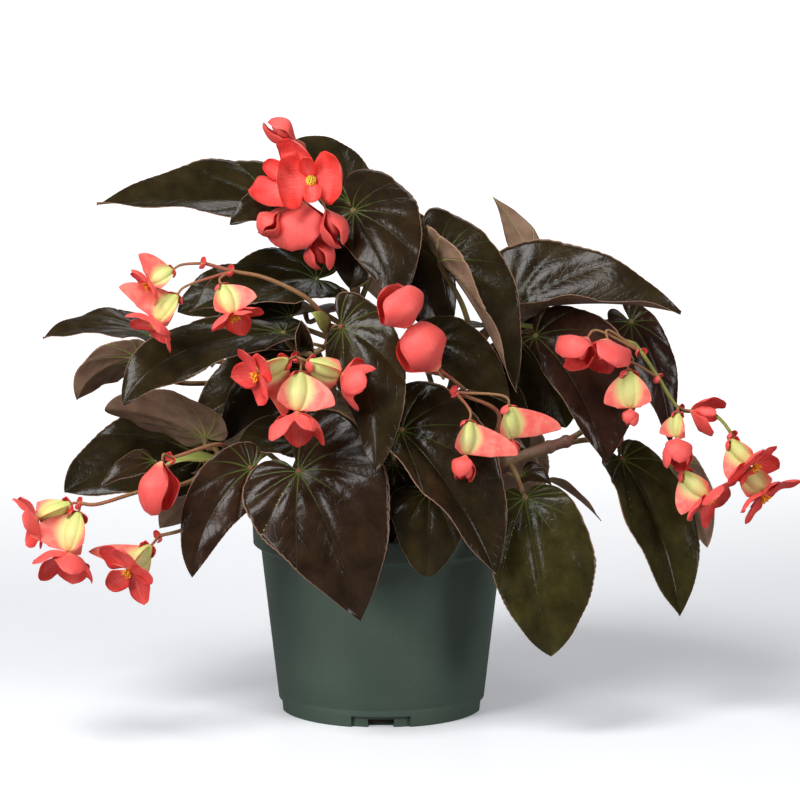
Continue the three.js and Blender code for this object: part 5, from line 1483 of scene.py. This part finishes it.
def crumbShape(look):
    # small rough balls, each one turned, stretched and pressed into the mound by its own random numbers
    rng = np.random.default_rng(soilLook["seed"])
    count = look["count"]
    up = np.linspace(-math.pi / 2, math.pi / 2, look["rings"])[:, None]
    around = np.linspace(0, 2 * math.pi, look["sides"], endpoint=False)[None, :]
    ball = [np.cos(up) * np.cos(around), np.cos(up) * np.sin(around), np.sin(up) + 0 * around]
    ball = np.stack(ball, axis=-1).reshape(-1, 3)
    r = (potLook["topRadius"] - potLook["rimWall"] - look["clear"]) * np.sqrt(rng.uniform(0, 1, count))
    way = rng.uniform(0, 2 * math.pi, count)
    x, y = r * np.cos(way), r * np.sin(way)
    size = rng.uniform(*look["size"], count) * rng.uniform(0.5, 1, count)
    stretch = rng.uniform([0.6, 0.5, 0.35], [1.8, 1, 0.8], (count, 3)) * size[:, None]
    dent = rng.uniform(-look["dent"], look["dent"], (count, 1, 1))
    dent = 1 + dent * np.sin(ball @ rng.normal(0, 3, (3, 1)))[None]
    spin = rng.uniform(0, 2 * math.pi, (count, 1))
    tip = rng.uniform(-look["tip"], look["tip"], (count, 1))
    p = turned(turned(ball[None] * stretch[:, None, :] * dent, 2, 0, tip), 0, 1, spin)
    place = np.stack([x, y, soilHeight(x, y, soilLook) + size * look["sunk"]], axis=-1)
    points = (p + place[:, None]).reshape(-1, 3)
    one = quads(look["rings"], look["sides"], closed=True)
    faces = (one[None] + np.arange(count)[:, None, None] * len(ball)).reshape(-1, 4)
    tone = np.where(rng.uniform(0, 1, count) < look["pale"], 1.0, rng.uniform(0, 0.35, count))
    values = dict(tone=np.repeat(tone, len(ball)))
    return dict(points=points, faces=faces, smooth=np.zeros(len(faces), bool), values=values)


# the pale speck colour is a painted glint on small raised specks of the plastic
potColours = dict(
    plastic=[(0.036, 0.062, 0.044), (0.05, 0.078, 0.058)], worn=(0.1, 0.13, 0.11), glintSpeck=(0.2, 0.2, 0.16)
)
# the peat's dark end is painted shade, laid in the hollows of the soil's bump
soilColours = dict(
    peat=[(0.007, 0.004, 0.003), (0.03, 0.018, 0.011)], brown=(0.055, 0.034, 0.02),
    fibre=(0.09, 0.055, 0.032), pale=(0.6, 0.57, 0.5),
)


def potMaterial(colours):
    # dark grey-green moulded plastic with a fine grain and pale dust; a few small raised specks are painted
    # pale as glints
    material, tree, to = newMaterial("potPlastic", **{"IOR": 1.48, "Coat Roughness": 0.4})
    place = objectPlace(tree)
    patches, grain = mottleIn(tree, place, 22.0, 1800.0)
    colour = shadesOf(tree, patches, colours["plastic"], high=0.75)
    colour = mixOf(tree, rangeOf(tree, grain, 0.5, 0.75, 0.0, 0.35), colour, colours["worn"])
    values = {"Vector": place, "Scale": 420.0, "Randomness": 1.0}
    dots = addNode(tree, "ShaderNodeTexVoronoi", values).outputs["Distance"]
    # painted glints: pale dots where the patches are high; the bump raises the same dots
    glintSpecks = times(tree, rangeOf(tree, dots, 0.05, 0.16, 1.0, 0.0), rangeOf(tree, patches, 0.5, 0.62))
    colour = mixOf(tree, times(tree, glintSpecks, 0.5), colour, colours["glintSpeck"])
    rough = plus(tree, noiseRange(tree, patches, 0.42, 0.55), times(tree, grain, 0.08))
    relief = plus(tree, times(tree, grain, 0.4), times(tree, glintSpecks, 0.8))
    finishSkin(tree, to, colour, rough, relief, 0.00012)
    return material


def soilMaterial(colours):
    # damp peat, with painted shade that makes it nearly black in the hollows of its bump; brown fibres; pale
    # crumbs where the tone is high
    material, tree, to = newMaterial("peat", IOR=1.35)
    patches, grain = mottleIn(tree, objectPlace(tree), 120.0, 900.0)
    # painted shade: the peat goes dark where the grain, which is also the bump's height, is low
    colour = shadesOf(tree, grain, colours["peat"], 0.35, 0.6)
    colour = mixOf(tree, rangeOf(tree, patches, 0.45, 0.75, 0.0, 0.6), colour, colours["brown"])
    tone = attributeOf(tree, "tone")
    colour = mixOf(tree, rangeOf(tree, tone, 0.0, 0.4, 0.0, 0.5), colour, colours["fibre"])
    colour = mixOf(tree, rangeOf(tree, tone, 0.6, 1.0), colour, colours["pale"])
    finishSkin(tree, to, colour, noiseRange(tree, grain, 0.75, 0.95), grain, 0.001)
    return material


potPiece = makePiece("nursery_pot", [potShape(potLook)], potMaterial(potColours), "pot", "pot")
potPiece.data.set_sharp_from_angle(angle=math.radians(38))
soilSkin = soilMaterial(soilColours)
makePiece("potting_mix", [soilShape(soilLook), crumbShape(crumbLook)], soilSkin, "soil", "soil")
print("pot and soil made")


# the studio

stageLook = dict(
    front=2.4, back=2.6, wide=3.2, bend=0.5, high=3.0, bendSteps=24, glowStart=0.1, glowEnd=1.7,
    paper=[(0.77, 0.78, 0.8), (0.8, 0.81, 0.825)], floorGlow=(0.2, 0.205, 0.22), wallGlow=(0.9, 0.9, 0.9),
    unseenPaper=(0.3, 0.3, 0.31), unseenGlow=(0.05, 0.05, 0.053),
)
lightLook = dict(
    top=dict(at=(-0.6, -0.8, 1.55), size=0.65, power=25),
    left=dict(at=(-1.5, -1.6, 1.0), size=0.8, power=35),
    right=dict(at=(1.5, -1.3, 0.9), size=0.7, power=20),
    behind=dict(at=(0.2, 1.1, 1.6), size=0.7, power=4),
)
plantMiddle = [0.0, 0.0, 0.2]
skyLook = dict(colour=(0.97, 0.98, 1, 1), strength=0.1)


def sweepShape(look):
    # a flat floor that bends up into a back wall along a quarter circle
    angle, bend = np.linspace(0, math.pi / 2, look["bendSteps"]), look["bend"]
    run = np.concatenate([[-look["front"]], look["back"] + bend * np.sin(angle), [look["back"] + bend]])
    rise = np.concatenate([[0], bend * (1 - np.cos(angle)), [look["high"]]])
    x = np.array([-look["wide"], look["wide"]])[None, :]
    points = np.stack([x + 0 * run[:, None], run[:, None] + 0 * x, rise[:, None] + 0 * x], axis=-1)
    return points.reshape(-1, 3), quads(len(run), 2)[:, ::-1]


def sweepMaterial(look):
    # bright paper for the camera, which glows more towards its far end, and dimmer paper for the plant
    material, tree, to = newMaterial("paperSweep", **{"Roughness": 0.3, "Emission Strength": 1.0})
    place = objectPlace(tree)
    back = addNode(tree, "ShaderNodeSeparateXYZ", {0: place}).outputs[1]
    paper = shadesOf(tree, mottleIn(tree, place, 2.0, 300.0)[0], look["paper"])
    seen = addNode(tree, "ShaderNodeLightPath").outputs["Is Camera Ray"]
    glow = rangeOf(tree, back, look["glowStart"], look["glowEnd"])
    glow = mixOf(tree, glow, look["floorGlow"], look["wallGlow"])
    tree.links.new(mixOf(tree, seen, look["unseenGlow"], glow), to["Emission Color"])
    tree.links.new(mixOf(tree, seen, look["unseenPaper"], paper), to["Base Color"])
    return material


sweepPoints, sweepFaces = sweepShape(stageLook)
sweepMesh = bpy.data.meshes.new("studioSweep")
sweepMesh.from_pydata(sweepPoints.tolist(), [], sweepFaces.tolist())
sweepMesh.polygons.foreach_set("use_smooth", np.ones(len(sweepFaces), bool))
sweepMesh.materials.append(sweepMaterial(stageLook))
sweep = bpy.data.objects.new("studioSweep", sweepMesh)
bpy.context.scene.collection.objects.link(sweep)


def areaLight(name, plan):
    # a soft square light that looks at the middle of the plant
    data = bpy.data.lights.new(name, "AREA")
    data.size = plan["size"]
    data.energy = plan["power"]
    light = bpy.data.objects.new(name, data)
    light.location = plan["at"]
    way = np.array(plantMiddle) - np.array(plan["at"])
    turn = math.atan2(way[1], way[0]) - math.pi / 2
    light.rotation_euler = (math.pi / 2 + math.atan2(way[2], math.hypot(way[0], way[1])), 0, turn)
    bpy.context.scene.collection.objects.link(light)


for name, plan in lightLook.items():
    areaLight(name + "Light", plan)
world = bpy.data.worlds.new("studioWorld")
world.use_nodes = True
background = world.node_tree.nodes["Background"].inputs
background["Color"].default_value = skyLook["colour"]
background["Strength"].default_value = skyLook["strength"]
bpy.context.scene.world = world
bpy.context.scene.view_settings.view_transform = "Standard"
print("studio set")
